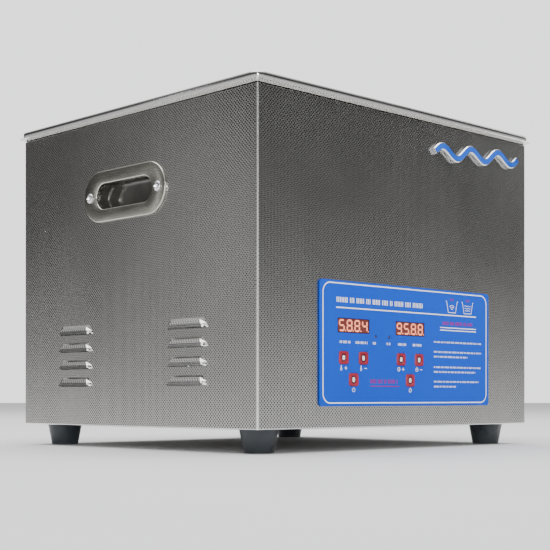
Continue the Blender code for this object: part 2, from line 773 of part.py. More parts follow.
def bezel_levels():
    """A plate with a bevelled edge and a lip turned into the grip."""
    face = GAP + HANDLE_T
    bevel = HANDLE_BEVEL
    lip = LIP_WALL
    return [
        (stadium(HANDLE_L, HANDLE_H), GAP),
        (stadium(HANDLE_L, HANDLE_H), face - bevel),
        (stadium(HANDLE_L - 2 * bevel, HANDLE_H - 2 * bevel), face),
        (stadium(GRIP_L + 2 * bevel, GRIP_H + 2 * bevel), face),
        (stadium(GRIP_L + 0.6 * bevel, GRIP_H + 0.6 * bevel), face - 0.3 * bevel),
        (stadium(GRIP_L, GRIP_H), face - bevel),
        (stadium(GRIP_L, GRIP_H), -GRIP_LIP),
        (stadium(GRIP_L + 2 * lip, GRIP_H + 2 * lip), -GRIP_LIP),
        (stadium(GRIP_L + 2 * lip, GRIP_H + 2 * lip), GAP),
    ]


def cup_levels():
    """A moulded cup with a flange that sits behind the casing."""
    inner = 2 * (LIP_WALL + TRAVEL_CLEARANCE)
    outer = inner + 2 * CUP_WALL
    fillet = 4 * MM
    flange_front = -(SHEET + GAP)
    flange_back = flange_front - CUP_FLANGE_T
    back = -(CUP_DEPTH + CUP_WALL)

    def cup_ring(grow, height):
        return (stadium(GRIP_L + grow, GRIP_H + grow, 3), height)

    return [
        cup_ring(inner - 2 * fillet, -CUP_DEPTH),
        cup_ring(inner, -CUP_DEPTH + fillet),
        cup_ring(inner, 0),
        cup_ring(outer, 0),
        cup_ring(outer, flange_front),
        (stadium(CUP_FLANGE_L, CUP_FLANGE_H, 3), flange_front),
        (stadium(CUP_FLANGE_L, CUP_FLANGE_H, 3), flange_back),
        cup_ring(outer, flange_back),
        cup_ring(outer, back + fillet),
        cup_ring(outer - 2 * fillet, back),
    ]


def screw_levels():
    seat = FACE_SCREW
    return [
        (circle(SCREW_R, 12), seat - SCREW_LEN),
        (circle(SCREW_R, 12), seat),
        (circle(SCREW_HEAD_R, 12), seat),
        (circle(SCREW_HEAD_R, 12), seat + 0.3 * SCREW_HEAD_H),
        (circle(0.6 * SCREW_HEAD_R, 12), seat + SCREW_HEAD_H),
    ]


def build_handles():
    for side, side_x, facing in (("left", -1, LEFT), ("right", 1, RIGHT)):
        at = handle_place(side_x)
        bezel = piece(f"handle_plate_{side}", [loop(*bezel_levels())], PLATE_STEEL, at, facing)
        cut(bezel, helper(f"{side}_plate_holes", handle_screw_holes(SCREW_R + GAP), at, facing))
        cup = piece(f"handle_cup_{side}", [stack(*cup_levels())], BLACK_PLASTIC, at, facing)
        cut(cup, helper(f"{side}_cup_holes", handle_screw_holes(SCREW_R + GAP), at, facing))
        arm = 0.55 * SCREW_HEAD_R
        half = 0.13 * SCREW_HEAD_R
        for end, offset in (("front", -1), ("rear", 1)):
            place = (at[0], at[1] + offset * SCREW_SPACING / 2, at[2])
            name = f"handle_screw_{side}_{end}"
            screw = piece(name, [stack(*screw_levels())], CHROME, place, facing)
            top = FACE_SCREW + SCREW_HEAD_H
            cross = spoked(4, half, arm, 1.6 * half, math.pi / 4, 1)
            recess = prism(cross, top - 0.6 * SCREW_HEAD_H, top + 1 * MM)
            cut(screw, helper(f"{name}_recess", [recess], place, facing))


# Controls


def key_places():
    for column, x in enumerate(COLUMN_X):
        group = ("heat", "timer")[column]
        yield f"key_{group}_up", x - KEY_HALF_PITCH, KEY_ROW_UPPER
        yield f"key_{group}_down", x + KEY_HALF_PITCH, KEY_ROW_UPPER
        yield f"key_{group}_power", x, KEY_ROW_LOWER


def build_control_panel():
    plate = prism(rounded(PANEL_W, PANEL_H, PANEL_CORNER_R, 3), GAP, PANEL_FACE)
    at = panel_point(0, PANEL_H / 2)
    panel = piece("control_panel", [plate], PANEL_BLUE, at, FRONT)
    slack = 2 * GAP
    holes = []
    for _, x, up in key_places():
        outline = rounded(KEY_W + slack, KEY_H + slack, KEY_CORNER_R, 2)
        holes.append(prism(moved(outline, x, up), *THROUGH))
    for x in COLUMN_X:
        outline = rounded(DISPLAY_W + slack, DISPLAY_H + slack, 0.6 * MM, 1)
        holes.append(prism(moved(outline, x, DISPLAY_ROW), *THROUGH))
    for x in LAMP_X:
        holes.append(prism(moved(circle(LAMP_R, 10), x, LAMP_ROW), *THROUGH))
    cut(panel, helper("control_holes", holes, panel_point(0, 0), FRONT))


def build_keys():
    cap = rounded(KEY_W, KEY_H, KEY_CORNER_R, 2)
    top = rounded(KEY_W - GAP * 2, KEY_H - GAP * 2, KEY_CORNER_R - GAP, 2)
    flange = rounded(KEY_W + 2 * KEY_FLANGE, KEY_H + 2 * KEY_FLANGE, KEY_CORNER_R, 2)
    plunger = rounded(PLUNGER_W, PLUNGER_W, 1 * MM, 2)
    levels = [
        (plunger, -PLUNGER_LEN),
        (plunger, -KEY_FLANGE),
        (flange, -KEY_FLANGE),
        (flange, 0),
        (cap, 0),
        (cap, KEY_FACE - GAP),
        (top, KEY_FACE),
    ]
    for name, x, up in key_places():
        piece(name, [stack(*levels)], KEY_RED, panel_point(x, up), FRONT)


def build_displays():
    body = rounded(DISPLAY_W + 2 * DISPLAY_RIM, DISPLAY_H + 2 * DISPLAY_RIM, 0.6 * MM, 1)
    window = rounded(DISPLAY_W, DISPLAY_H, 0.4 * MM, 1)
    levels = [
        (body, -(BOARD_DEPTH - GAP)),
        (body, 0),
        (window, 0),
        (window, PANEL_FACE - GAP),
    ]
    for name, x in zip(("display_heat", "display_timer"), COLUMN_X):
        piece(name, [stack(*levels)], DISPLAY_RED, panel_point(x, DISPLAY_ROW), FRONT)


def build_control_board():
    low_x, high_x, low_z, high_z = controls_window()
    width = high_x - low_x + 2 * BOARD_MARGIN
    height = high_z - low_z + 2 * BOARD_MARGIN
    middle_x = (low_x + high_x) / 2
    middle_z = (low_z + high_z) / 2
    outline = moved(rounded(width, height, 2 * MM, 2), middle_x, middle_z)
    sheet = prism(outline, -BOARD_DEPTH - BOARD_T, -BOARD_DEPTH)
    board = piece("control_board", [sheet], BOARD_GREEN, panel_point(0, 0), FRONT)
    raised = []
    reach = BOARD_MARGIN / 2
    for x in (low_x - reach, high_x + reach):
        for up in (low_z - reach, high_z + reach):
            post = moved(circle(BOARD_POST_R, 8), x, up)
            raised.append(prism(post, -BOARD_DEPTH - BOARD_T / 2, -SHEET - GAP))
    for _, x, up in key_places():
        switch = moved(rounded(TACT_SWITCH_W, TACT_SWITCH_W, 0.5 * MM, 1), x, up)
        top = -(PLUNGER_LEN + KEY_TRAVEL + TRAVEL_CLEARANCE)
        raised.append(prism(switch, -BOARD_DEPTH - BOARD_T / 2, top))
    join(board, helper("board_parts", raised, panel_point(0, 0), FRONT))


def build_badge():
    levels = [
        (ribbon(BADGE_HALF_W), GAP),
        (ribbon(BADGE_HALF_W), GAP + BADGE_T - BADGE_BEVEL),
        (ribbon(BADGE_HALF_W - BADGE_BEVEL), GAP + BADGE_T),
    ]
    at = (BADGE_RIGHT, -CASE_D / 2, CASE_TOP - BADGE_DROP)
    piece("badge", [stack(*levels)], CHROME, at, (FRONT[0], -BADGE_TILT, 0))


# Rear panel's pieces


def build_fan():
    at = (FAN_X, CASE_D / 2, FOOT_H + FAN_LIFT)
    square = prism(rounded(FAN_SIZE, FAN_SIZE, 4 * MM, 3), -FAN_DEPTH, 0)
    frame = piece("fan_frame", [square], BLACK_PLASTIC, at, BACK)
    duct = prism(circle(FAN_DUCT_R, 28), THROUGH[0] - FAN_DEPTH, THROUGH[1])
    cut(frame, helper("fan_duct", [duct], at, BACK))
    arms = spoked(4, FAN_ARM_HALF_W, FAN_DUCT_R + 1 * MM, FAN_HUB_R, math.pi / 4)
    spider = prism(arms, -FAN_DEPTH, -FAN_DEPTH + FAN_SPIDER_T)
    join(frame, helper("fan_spider", [spider], at, BACK))
    back = -FAN_DEPTH + FAN_SPIDER_T + TRAVEL_CLEARANCE
    front = back + FAN_ROTOR_DEPTH
    hub = stack(
        (circle(FAN_HUB_R), back),
        (circle(FAN_HUB_R), front - 1 * MM),
        (circle(FAN_HUB_R - 1 * MM), front),
    )
    rotor = piece("fan_rotor", [hub], BLACK_PLASTIC, at, BACK)
    blades = [fan_blade(2 * math.pi * i / FAN_BLADES, (back + front) / 2) for i in range(FAN_BLADES)]
    join(rotor, helper("fan_blades", blades, at, BACK))
    wire = GUARD_WIRE / 2
    guard_at = rear_point(FAN_X, FAN_LIFT, GAP)
    legs = prism(spoked(4, wire, FAN_MOUNT_R, 4 * MM, math.pi / 4, 2), 0, GUARD_WIRE)
    guard = piece("fan_guard", [legs], CHROME, guard_at, BACK)
    hoops = [
        loop(
            (circle(radius - wire), 0), (circle(radius + wire), 0),
            (circle(radius + wire), GUARD_WIRE), (circle(radius - wire), GUARD_WIRE),
        )
        for radius in GUARD_RINGS
    ]
    join(guard, helper("guard_hoops", hoops, guard_at, BACK))


def fan_blade(angle, middle):
    """A pitched blade, narrow at the hub and wide at the tip."""
    pitch = Matrix.Rotation(BLADE_PITCH, 3, "X")
    turn = Matrix.Rotation(angle, 3, "Z")
    rings = []
    for radius, chord in ((FAN_HUB_R - 1 * MM, BLADE_ROOT_W), (FAN_ROTOR_R, BLADE_TIP_W)):
        half = chord / 2
        thick = BLADE_T / 2
        section = ((0, -half, -thick), (0, half, -thick), (0, half, thick), (0, -half, thick))
        ring = [turn @ (pitch @ Vector(point) + Vector((radius, 0, middle))) for point in section]
        rings.append(ring)
    return (rings, False)


def build_inlet():
    levels = [
        (rounded(SOCKET_W, SOCKET_H, 2 * MM, 3), -SOCKET_DEPTH),
        (rounded(SOCKET_W, SOCKET_H, 2 * MM, 3), FLANGE_T),
        (rounded(INLET_W, INLET_H, 4 * MM, 3), FLANGE_T),
        (rounded(INLET_W, INLET_H, 4 * MM, 3), 0),
        (rounded(INLET_BODY_W, INLET_BODY_H, 2 * MM, 3), 0),
        (rounded(INLET_BODY_W, INLET_BODY_H, 2 * MM, 3), -INLET_DEPTH),
    ]
    at = rear_point(POWER_X, INLET_LIFT, GAP)
    inlet = piece("power_inlet", [stack(*levels)], BLACK_PLASTIC, at, BACK)
    pins = []
    for x, y in ((-PIN_SPREAD, -PIN_OFFSET), (0, PIN_OFFSET), (PIN_SPREAD, -PIN_OFFSET)):
        pin = moved(rounded(PIN_W, PIN_H, PIN_W / 4, 1), x, y)
        pins.append(prism(pin, -SOCKET_DEPTH - PIN_W, -PIN_W / 2))
    join(inlet, helper("inlet_pins", pins, at, BACK))


def build_switch():
    well_w = ROCKER_W + 2 * TRAVEL_CLEARANCE
    well_h = ROCKER_H + 3 * TRAVEL_CLEARANCE
    flange = FLANGE_T * 0.7
    levels = [
        (rounded(well_w, well_h, 0.5 * MM, 1), -ROCKER_WELL),
        (rounded(well_w, well_h, 0.5 * MM, 1), flange),
        (rounded(SWITCH_W, SWITCH_H, 2 * MM, 1), flange),
        (rounded(SWITCH_W, SWITCH_H, 2 * MM, 1), 0),
        (rounded(SWITCH_BODY_W, SWITCH_BODY_H, 1 * MM, 1), 0),
        (rounded(SWITCH_BODY_W, SWITCH_BODY_H, 1 * MM, 1), -SWITCH_DEPTH),
    ]
    at = rear_point(POWER_X, SWITCH_LIFT, GAP)
    piece("power_switch_housing", [stack(*levels)], BLACK_PLASTIC, at, BACK)
    half = ROCKER_H / 2
    crown = 3.5 * MM
    profile = [
        (-half, crown), (-0.82 * half, -5 * MM), (0, -8 * MM), (0.82 * half, -5 * MM),
        (half, crown), (0.5 * half, 2.2 * MM), (0, 1.8 * MM), (-0.5 * half, 2.2 * MM),
    ]
    rings = [[(x, along, out) for along, out in profile] for x in (-ROCKER_W / 2, ROCKER_W / 2)]
    facing = (BACK[0] - ROCKER_TILT, 0, BACK[2])
    piece("power_switch_rocker", [(rings, False)], ROCKER_RED, at, facing)


# Drain: a pipe from the tank's floor, a ball valve, and an outlet through the rear panel


def build_drain():
    top = TANK_FLOOR + GAP
    down = (0, 0, -1)
    back = (0, 1, 0)
    pipe = DRAIN_PIPE_R
    x = DRAIN_X
    y = TANK_HOLE_Y
    nut_top = TANK_UNDERSIDE - GAP
    stations = [
        ((x, y, top + DRAIN_FLANGE_T), down, DRAIN_FLANGE_R),
        ((x, y, top), down, DRAIN_FLANGE_R),
        ((x, y, top), down, pipe),
        ((x, y, nut_top), down, pipe),
        ((x, y, nut_top), down, DRAIN_NUT_R),
        ((x, y, nut_top - DRAIN_NUT_H), down, DRAIN_NUT_R),
        ((x, y, nut_top - DRAIN_NUT_H), down, pipe),
    ]
    steps = 4
    for step in range(steps + 1):
        angle = math.pi / 2 * step / steps
        centre = (
            x,
            y + DRAIN_ELBOW_R * (1 - math.cos(angle)),
            DRAIN_Z + DRAIN_ELBOW_R * (1 - math.sin(angle)),
        )
        stations.append((centre, (0, math.sin(angle), -math.cos(angle)), pipe))
    stations.append(((x, VALVE_Y - VALVE_LEN / 2 - GAP, DRAIN_Z), back, pipe))
    piece("drain_pipe", [tube_along(stations)], BRASS)
    build_valve()
    start = VALVE_Y + VALVE_LEN / 2 + GAP
    collar = REAR_FACE + GAP
    profile = [
        (start, pipe + 2 * MM), (start + 4 * MM, pipe + 2 * MM), (start + 4 * MM, pipe),
        (collar, pipe), (collar, OUTLET_COLLAR_R), (collar + OUTLET_COLLAR_T, OUTLET_COLLAR_R),
        (collar + OUTLET_COLLAR_T, pipe),
    ]
    first_barb = OUTLET_END - BARB_COUNT * BARB_PITCH
    for barb in range(BARB_COUNT):
        foot = first_barb + barb * BARB_PITCH
        profile += [(foot, pipe), (foot, BARB_R)]
    profile.append((OUTLET_END, pipe))
    outlet = [((x, place, DRAIN_Z), back, radius) for place, radius in profile]
    piece("drain_outlet", [tube_along(outlet)], BRASS)


def tube_along(stations):
    return tube(stations, DRAIN_BORE_R)


def build_valve():
    """The body lies along the flow; the ball and stem turn about X, the lever outside the right face."""
    ball_at = (DRAIN_X, VALVE_Y, DRAIN_Z)
    half = VALVE_LEN / 2
    body = prism(circle(VALVE_R), -half, half)
    valve = piece("drain_valve_body", [body], BRASS, ball_at, BACK)
    bore = prism(circle(DRAIN_BORE_R, 12), THROUGH[0] - half, THROUGH[1] + half)
    seat = ball_of(BALL_R + TRAVEL_CLEARANCE)
    stem_bore = prism(circle(STEM_R + GAP, 12), 0, THROUGH[1] + VALVE_R)
    cut(valve, helper("valve_bore", [bore], ball_at, BACK))
    cut(valve, helper("valve_seat", [seat], ball_at, BACK))
    cut(valve, helper("valve_stem_bore", [stem_bore], ball_at, RIGHT))
    ball = piece("drain_valve_stem", [ball_of(BALL_R)], CHROME, ball_at, RIGHT)
    reach = DRAIN_RIGHT + LEVER_REACH - 2 * MM
    join(ball, helper("stem_rod", [prism(circle(STEM_R, 12), BALL_R / 2, reach)], ball_at, RIGHT))
    waterway = prism(circle(DRAIN_BORE_R, 12), THROUGH[0] - BALL_R, THROUGH[1] + BALL_R)
    cut(ball, helper("ball_bore", [waterway], ball_at, UPRIGHT))
    lever_at = (CASE_W / 2 + LEVER_STAND_OFF, VALVE_Y, DRAIN_Z)
    hub = prism(circle(LEVER_HUB_R), 0, LEVER_HUB_H)
    lever = piece("drain_valve_lever", [hub], LEVER_RED, lever_at, RIGHT)
    arm = upright_stadium(LEVER_W, LEVER_L)
    blade = prism(arm, LEVER_HUB_H - 2 * LEVER_T, LEVER_HUB_H - LEVER_T)
    join(lever, helper("lever_arm", [blade], lever_at, RIGHT))
    socket = prism(circle(STEM_R + GAP, 12), THROUGH[0], THROUGH[1] + LEVER_HUB_H)
    cut(lever, helper("lever_socket", [socket], lever_at, RIGHT))


def upright_stadium(width, length):
    """A stadium that stands on the origin, its lower end's centre there."""
    turned = [(-y, x) for x, y in stadium(length, width, 5)]
    return moved(turned, 0, length / 2 - width / 2)


def ball_of(radius, rows=6, pole=0.1):
    """A ball with a small flat at each pole."""
    rings = []
    for row in range(rows + 1):
        angle = math.pi * (pole + (1 - 2 * pole) * row / rows)
        rings.append(level(circle(radius * math.sin(angle), 14), -radius * math.cos(angle)))
    return (rings, False)


# Inside


def transducer_places():
    """An even grid whose outer members keep their distance from the tank's walls."""
    reach_x = DRAIN_X - HORN_R * TRANSDUCER_SHARES[0]
    reach_y = TANK_HOLE_Y - HORN_R * TRANSDUCER_SHARES[1]
    number = 0
    for row in range(TRANSDUCER_ROWS):
        for column in range(TRANSDUCER_COLUMNS):
            number += 1
            x = reach_x * (2 * column / (TRANSDUCER_COLUMNS - 1) - 1)
            yield number, x, reach_y * (2 * row / (TRANSDUCER_ROWS - 1) - 1)


def build_transducers():
    top = TANK_UNDERSIDE - GAP
    neck = top - HORN_H
    stack_top = neck - GAP
    bottom = stack_top - STACK_H
    horn = [(circle(HORN_R), top), (circle(HORN_R), top - 4 * MM), (circle(STACK_R), neck)]
    rings = [
        (circle(STACK_R), stack_top),
        (circle(STACK_R), bottom),
        (circle(BOLT_R), bottom),
        (circle(BOLT_R), bottom - BOLT_H),
    ]
    for number, x, y in transducer_places():
        piece(f"transducer_horn_{number}", [stack(*horn[::-1])], ALUMINIUM, (x, y, 0))
        piece(f"transducer_stack_{number}", [stack(*rings[::-1])], CERAMIC, (x, y, 0))


def build_tank_fittings():
    pad = prism(rounded(HEATER_L, HEATER_H, 5 * MM, 2), 0, HEATER_T)
    reach = TANK_D / 2 + TANK_WALL + GAP
    lift = TANK_FLOOR + TANK_FLOOR_R + HEATER_LIFT + HEATER_H / 2
    piece("heater_pad_front", [pad], SILICONE, (0, -reach, lift), FRONT)
    piece("heater_pad_rear", [pad], SILICONE, (0, reach, lift), BACK)
    places = [x for _, x, _ in transducer_places()]
    between = (places[0] + places[1]) / 2
    top = TANK_UNDERSIDE - GAP
    disc = prism(circle(SENSOR_R), top - SENSOR_H, top)
    piece("temperature_sensor", [disc], BLACK_PLASTIC, (between, 0, 0))


def build_electronics():
    board_bottom = BASE_TOP + STANDOFF_H
    board_top = board_bottom + BOARD_T
    sheet = prism(rounded(GENERATOR_W, GENERATOR_D, 2 * MM, 2), board_bottom, board_top)
    at = (GENERATOR_X, GENERATOR_Y, 0)
    board = piece("generator_board", [sheet], BOARD_GREEN, at)
    posts = [
        prism(
            moved(
                circle(STANDOFF_R, 8),
                side_x * (GENERATOR_W / 2 - 2 * STANDOFF_R),
                side_y * (GENERATOR_D / 2 - 2 * STANDOFF_R),
            ),
            BASE_TOP + GAP, board_bottom + BOARD_T / 2,
        )
        for side_x in (-1, 1)
        for side_y in (-1, 1)
    ]
    join(board, helper("generator_posts", posts, at))
    seat = board_top + GAP
    comb = fin_outline()
    sink_x = GENERATOR_X - GENERATOR_W / 2 + SINK_W / 2 + 8 * MM
    sink = ([[(x, y, z) for x, z in comb] for y in (-SINK_L / 2, SINK_L / 2)], False)
    piece("heat_sink", [sink], ALUMINIUM, (sink_x, GENERATOR_Y, seat))
    core = rounded(TRANSFORMER_W, TRANSFORMER_D, 2 * MM, 2)
    waist = rounded(TRANSFORMER_W * 0.82, TRANSFORMER_D * 1.1, 6 * MM, 2)
    height = TRANSFORMER_H
    levels = [
        (core, 0), (core, 0.25 * height), (waist, 0.3 * height),
        (waist, 0.7 * height), (core, 0.75 * height), (core, height),
    ]
    winding_x = GENERATOR_X + GENERATOR_W / 2 - TRANSFORMER_W / 2 - 10 * MM
    piece("transformer", [stack(*levels)], FERRITE, (winding_x, GENERATOR_Y, seat))


def fin_outline():
    """A heat sink's section: a base with upright fins."""
    base = 5 * MM
    pitch = SINK_W / (2 * SINK_FINS - 1)
    points = [(SINK_W / 2, 0), (SINK_W / 2, SINK_H)]
    for fin in range(1, SINK_FINS):
        right = SINK_W / 2 - (2 * fin - 1) * pitch
        points += [(right, SINK_H), (right, base), (right - pitch, base), (right - pitch, SINK_H)]
    points += [(-SINK_W / 2, SINK_H), (-SINK_W / 2, 0)]
    return points


clear_scene()
ASSEMBLY = bpy.data.objects.new("ultrasonic_cleaner", None)
ASSEMBLY.location = TO_ORIGIN
bpy.context.scene.collection.objects.link(ASSEMBLY)

EMBOSSED = material("embossed steel", (0.36, 0.36, 0.35), 1.0, 0.38)
PLAIN_STEEL = material("plain steel", (0.52, 0.52, 0.51), 1.0, 0.35)
PLATE_STEEL = material("handle plate steel", (0.45, 0.45, 0.43), 1.0, 0.3)
BRUSHED_STEEL = material("brushed steel", (0.55, 0.55, 0.54), 1.0, 0.32)
POLISHED_STEEL = material("polished steel", (0.72, 0.72, 0.71), 1.0, 0.16)
CHROME = material("chrome", (0.8, 0.8, 0.8), 1.0, 0.08)
BRASS = material("plated brass", (0.7, 0.68, 0.6), 1.0, 0.25)
ALUMINIUM = material("aluminium", (0.75, 0.76, 0.77), 1.0, 0.35)
RUBBER = material("black rubber", (0.03, 0.032, 0.035), 0.0, 0.45)
SILICONE = material("silicone", (0.5, 0.16, 0.08), 0.0, 0.6)
BLACK_PLASTIC = material("black plastic", (0.02, 0.02, 0.022), 0.0, 0.35)
PANEL_BLUE = material("panel blue", (0.015, 0.13, 0.68), 0.0, 0.3)
KEY_RED = material("key red", (0.5, 0.03, 0.06), 0.0, 0.35)
DISPLAY_RED = material("display red", (0.12, 0.01, 0.01), 0.0, 0.15)
ROCKER_RED = material("rocker red", (0.55, 0.02, 0.02), 0.0, 0.25)
LEVER_RED = material("lever red", (0.5, 0.02, 0.02), 0.0, 0.4)
BOARD_GREEN = material("circuit board", (0.02, 0.16, 0.06), 0.0, 0.4)
CERAMIC = material("ceramic and steel", (0.4, 0.38, 0.36), 0.4, 0.45)
FERRITE = material("ferrite", (0.07, 0.07, 0.075), 0.0, 0.6)

build_casing()
build_rear_panel()
build_base()
build_feet()
build_tank()
build_gasket()
build_lid()
build_lid_handle()
build_handles()
build_control_panel()
build_keys()
build_displays()
build_control_board()
build_badge()
build_fan()
build_inlet()
build_switch()
build_drain()
build_transducers()
build_tank_fittings()
build_electronics()
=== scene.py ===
"""Looks of the bench-top ultrasonic cleaner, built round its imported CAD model.

Metres, +Z up. The front faces -Y. Places come from the CAD nodes' boxes.
"""

import json
import math

import bmesh
import bpy
from mathutils import Euler, Matrix, Vector


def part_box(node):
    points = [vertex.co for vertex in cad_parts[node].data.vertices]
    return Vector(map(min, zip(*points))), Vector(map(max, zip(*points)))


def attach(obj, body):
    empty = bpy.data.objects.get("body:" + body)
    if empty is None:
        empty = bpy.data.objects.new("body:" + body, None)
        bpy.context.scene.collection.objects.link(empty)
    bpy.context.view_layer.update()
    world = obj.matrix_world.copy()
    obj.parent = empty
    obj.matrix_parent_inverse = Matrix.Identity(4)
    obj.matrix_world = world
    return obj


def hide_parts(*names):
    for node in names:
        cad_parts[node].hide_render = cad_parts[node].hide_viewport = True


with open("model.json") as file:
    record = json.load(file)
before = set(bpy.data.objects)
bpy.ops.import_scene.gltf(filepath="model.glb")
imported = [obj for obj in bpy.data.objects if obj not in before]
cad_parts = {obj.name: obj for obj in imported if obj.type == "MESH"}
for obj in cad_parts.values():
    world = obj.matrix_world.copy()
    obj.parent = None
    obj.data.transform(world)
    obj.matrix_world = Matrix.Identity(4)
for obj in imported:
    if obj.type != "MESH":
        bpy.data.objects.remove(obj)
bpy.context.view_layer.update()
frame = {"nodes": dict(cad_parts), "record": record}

MM = 0.001

# An outline's +Z turned to face each way; on the four sides its +Y stays upright
FRONT = (math.pi / 2, 0, 0)
LEFT = (math.pi / 2, 0, -math.pi / 2)
RIGHT = (math.pi / 2, 0, math.pi / 2)
BACK = (math.pi / 2, 0, math.pi)
UPRIGHT = (0, 0, 0)
DOWN = (math.pi, 0, 0)


# The casing's own frame, from the tank's rim, which overhangs it evenly

RIM_OVERHANG = 4.5 * MM
TANK_WALL = 1.0 * MM
RIM_LOW, RIM_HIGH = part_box("tank")
CASE_X, CASE_Y, _ = (RIM_LOW + RIM_HIGH) / 2
CASE_W = RIM_HIGH.x - RIM_LOW.x - 2 * RIM_OVERHANG
CASE_D = RIM_HIGH.y - RIM_LOW.y - 2 * RIM_OVERHANG
CASE_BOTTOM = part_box("casing_wrap")[0].z
CASE_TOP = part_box("casing_wrap")[1].z
RIM_TOP = RIM_HIGH.z
TANK_FLOOR = RIM_LOW.z + TANK_WALL
TANK_W = 318 * MM
TANK_D = 290 * MM
TANK_CORNER_R = 28 * MM
GAP = 0.3 * MM


# Node materials


class Paint:
    """A Principled material whose detail comes from nodes over object space, in metres."""

    def __init__(self, name, colour, metallic, roughness, **sockets):
        self.material = bpy.data.materials.new(name)
        self.material.use_nodes = True
        self.tree = self.material.node_tree
        self.shader = self.tree.nodes["Principled BSDF"]
        self.colour = colour
        self.roughness = roughness
        self.shader.inputs["Base Color"].default_value = (*colour, 1)
        self.shader.inputs["Metallic"].default_value = metallic
        self.shader.inputs["Roughness"].default_value = roughness
        for socket, value in sockets.items():
            self.shader.inputs[socket.replace("_", " ")].default_value = value
        self.place = self.add("ShaderNodeTexCoord").outputs["Object"]
        self.normal = None

    def add(self, kind, inputs=None, **settings):
        made = self.tree.nodes.new(kind)
        for setting, value in settings.items():
            setattr(made, setting, value)
        for socket, value in (inputs or {}).items():
            if isinstance(value, bpy.types.NodeSocket):
                self.tree.links.new(value, made.inputs[socket])
            else:
                made.inputs[socket].default_value = value
        return made

    def math(self, operation, first, second=0.0):
        return self.add("ShaderNodeMath", {0: first, 1: second}, operation=operation).outputs[0]

    def noise(self, scale, detail=2.0, stretch=(1, 1, 1)):
        place = self.add("ShaderNodeMapping", {"Vector": self.place, "Scale": stretch}).outputs[0]
        return self.add("ShaderNodeTexNoise", {"Vector": place, "Scale": scale, "Detail": detail}).outputs[0]

    def ranged(self, value, low, high, start=0.35, end=0.65):
        inputs = {"Value": value, "From Min": start, "From Max": end, "To Min": low, "To Max": high}
        return self.add("ShaderNodeMapRange", inputs).outputs[0]

    def blend(self, factor, first, second):
        made = self.add("ShaderNodeMix", data_type="RGBA")
        self.tree.links.new(factor, made.inputs["Factor"])
        for socket, value in (("A", first), ("B", second)):
            target = next(s for s in made.inputs if s.name == socket and s.type == "RGBA")
            if isinstance(value, bpy.types.NodeSocket):
                self.tree.links.new(value, target)
            else:
                target.default_value = (*value, 1)
        return next(s for s in made.outputs if s.type == "RGBA")

    def rough_by(self, value, low, high):
        self.tree.links.new(self.ranged(value, low, high), self.shader.inputs["Roughness"])

    def colour_by(self, value, first, second):
        colour = self.blend(self.ranged(value, 0, 1), first, second)
        self.tree.links.new(colour, self.shader.inputs["Base Color"])

    def bump(self, height, distance, strength=1.0):
        inputs = {"Height": height, "Distance": distance, "Strength": strength}
        if self.normal:
            inputs["Normal"] = self.normal
        self.normal = self.add("ShaderNodeBump", inputs).outputs[0]
        self.tree.links.new(self.normal, self.shader.inputs["Normal"])


def shade(colour, factor):
    return tuple(channel * factor for channel in colour)


def brushed(name, colour, roughness, along, grain=0.004 * MM):
    """Steel with fine lines running along one axis, and faint smudges."""
    paint = Paint(name, colour, 1.0, roughness)
    stretch = [1.0 if axis == along else 40.0 for axis in "xyz"]
    lines = paint.noise(60, 4, stretch)
    smudges = paint.noise(14, 3)
    mean = paint.math("MULTIPLY", paint.math("ADD", lines, smudges), 0.5)
    paint.rough_by(mean, roughness * 0.75, roughness * 1.3)
    paint.colour_by(lines, shade(colour, 0.95), shade(colour, 1.04))
    paint.bump(lines, grain)
    return paint.material


def polished(name, colour, roughness, metallic=1.0):
    """Smooth metal with hairline marks and slight unevenness."""
    paint = Paint(name, colour, metallic, roughness)
    paint.rough_by(paint.noise(90, 4, (1, 1, 6)), roughness * 0.6, roughness * 1.8)
    paint.colour_by(paint.noise(25, 2), shade(colour, 0.95), shade(colour, 1.03))
    paint.bump(paint.noise(700, 2), 0.002 * MM)
    return paint.material


def moulded(name, colour, roughness, grain_scale=1800, grain=0.02 * MM, **sockets):
    """Plastic or rubber with a fine moulded grain and slightly worn patches."""
    paint = Paint(name, colour, 0.0, roughness, **sockets)
    wear = paint.noise(35, 4)
    paint.rough_by(wear, roughness * 0.85, min(1.0, roughness * 1.2))
    paint.colour_by(wear, shade(colour, 0.85), shade(colour, 1.25))
    paint.bump(paint.noise(grain_scale, 2), grain)
    return paint.material


EMBOSS_ACROSS = 3.1 * MM
EMBOSS_UP = 2.96 * MM
STEEL = (0.47, 0.465, 0.445)
BEND_HIGHLIGHT = 1.5 * MM  # how wide the painted highlight along a corner bend reaches, from the corner
# how high the painted highlight along the bottom fold reaches
FOLD_HIGHLIGHT = 1.0 * MM


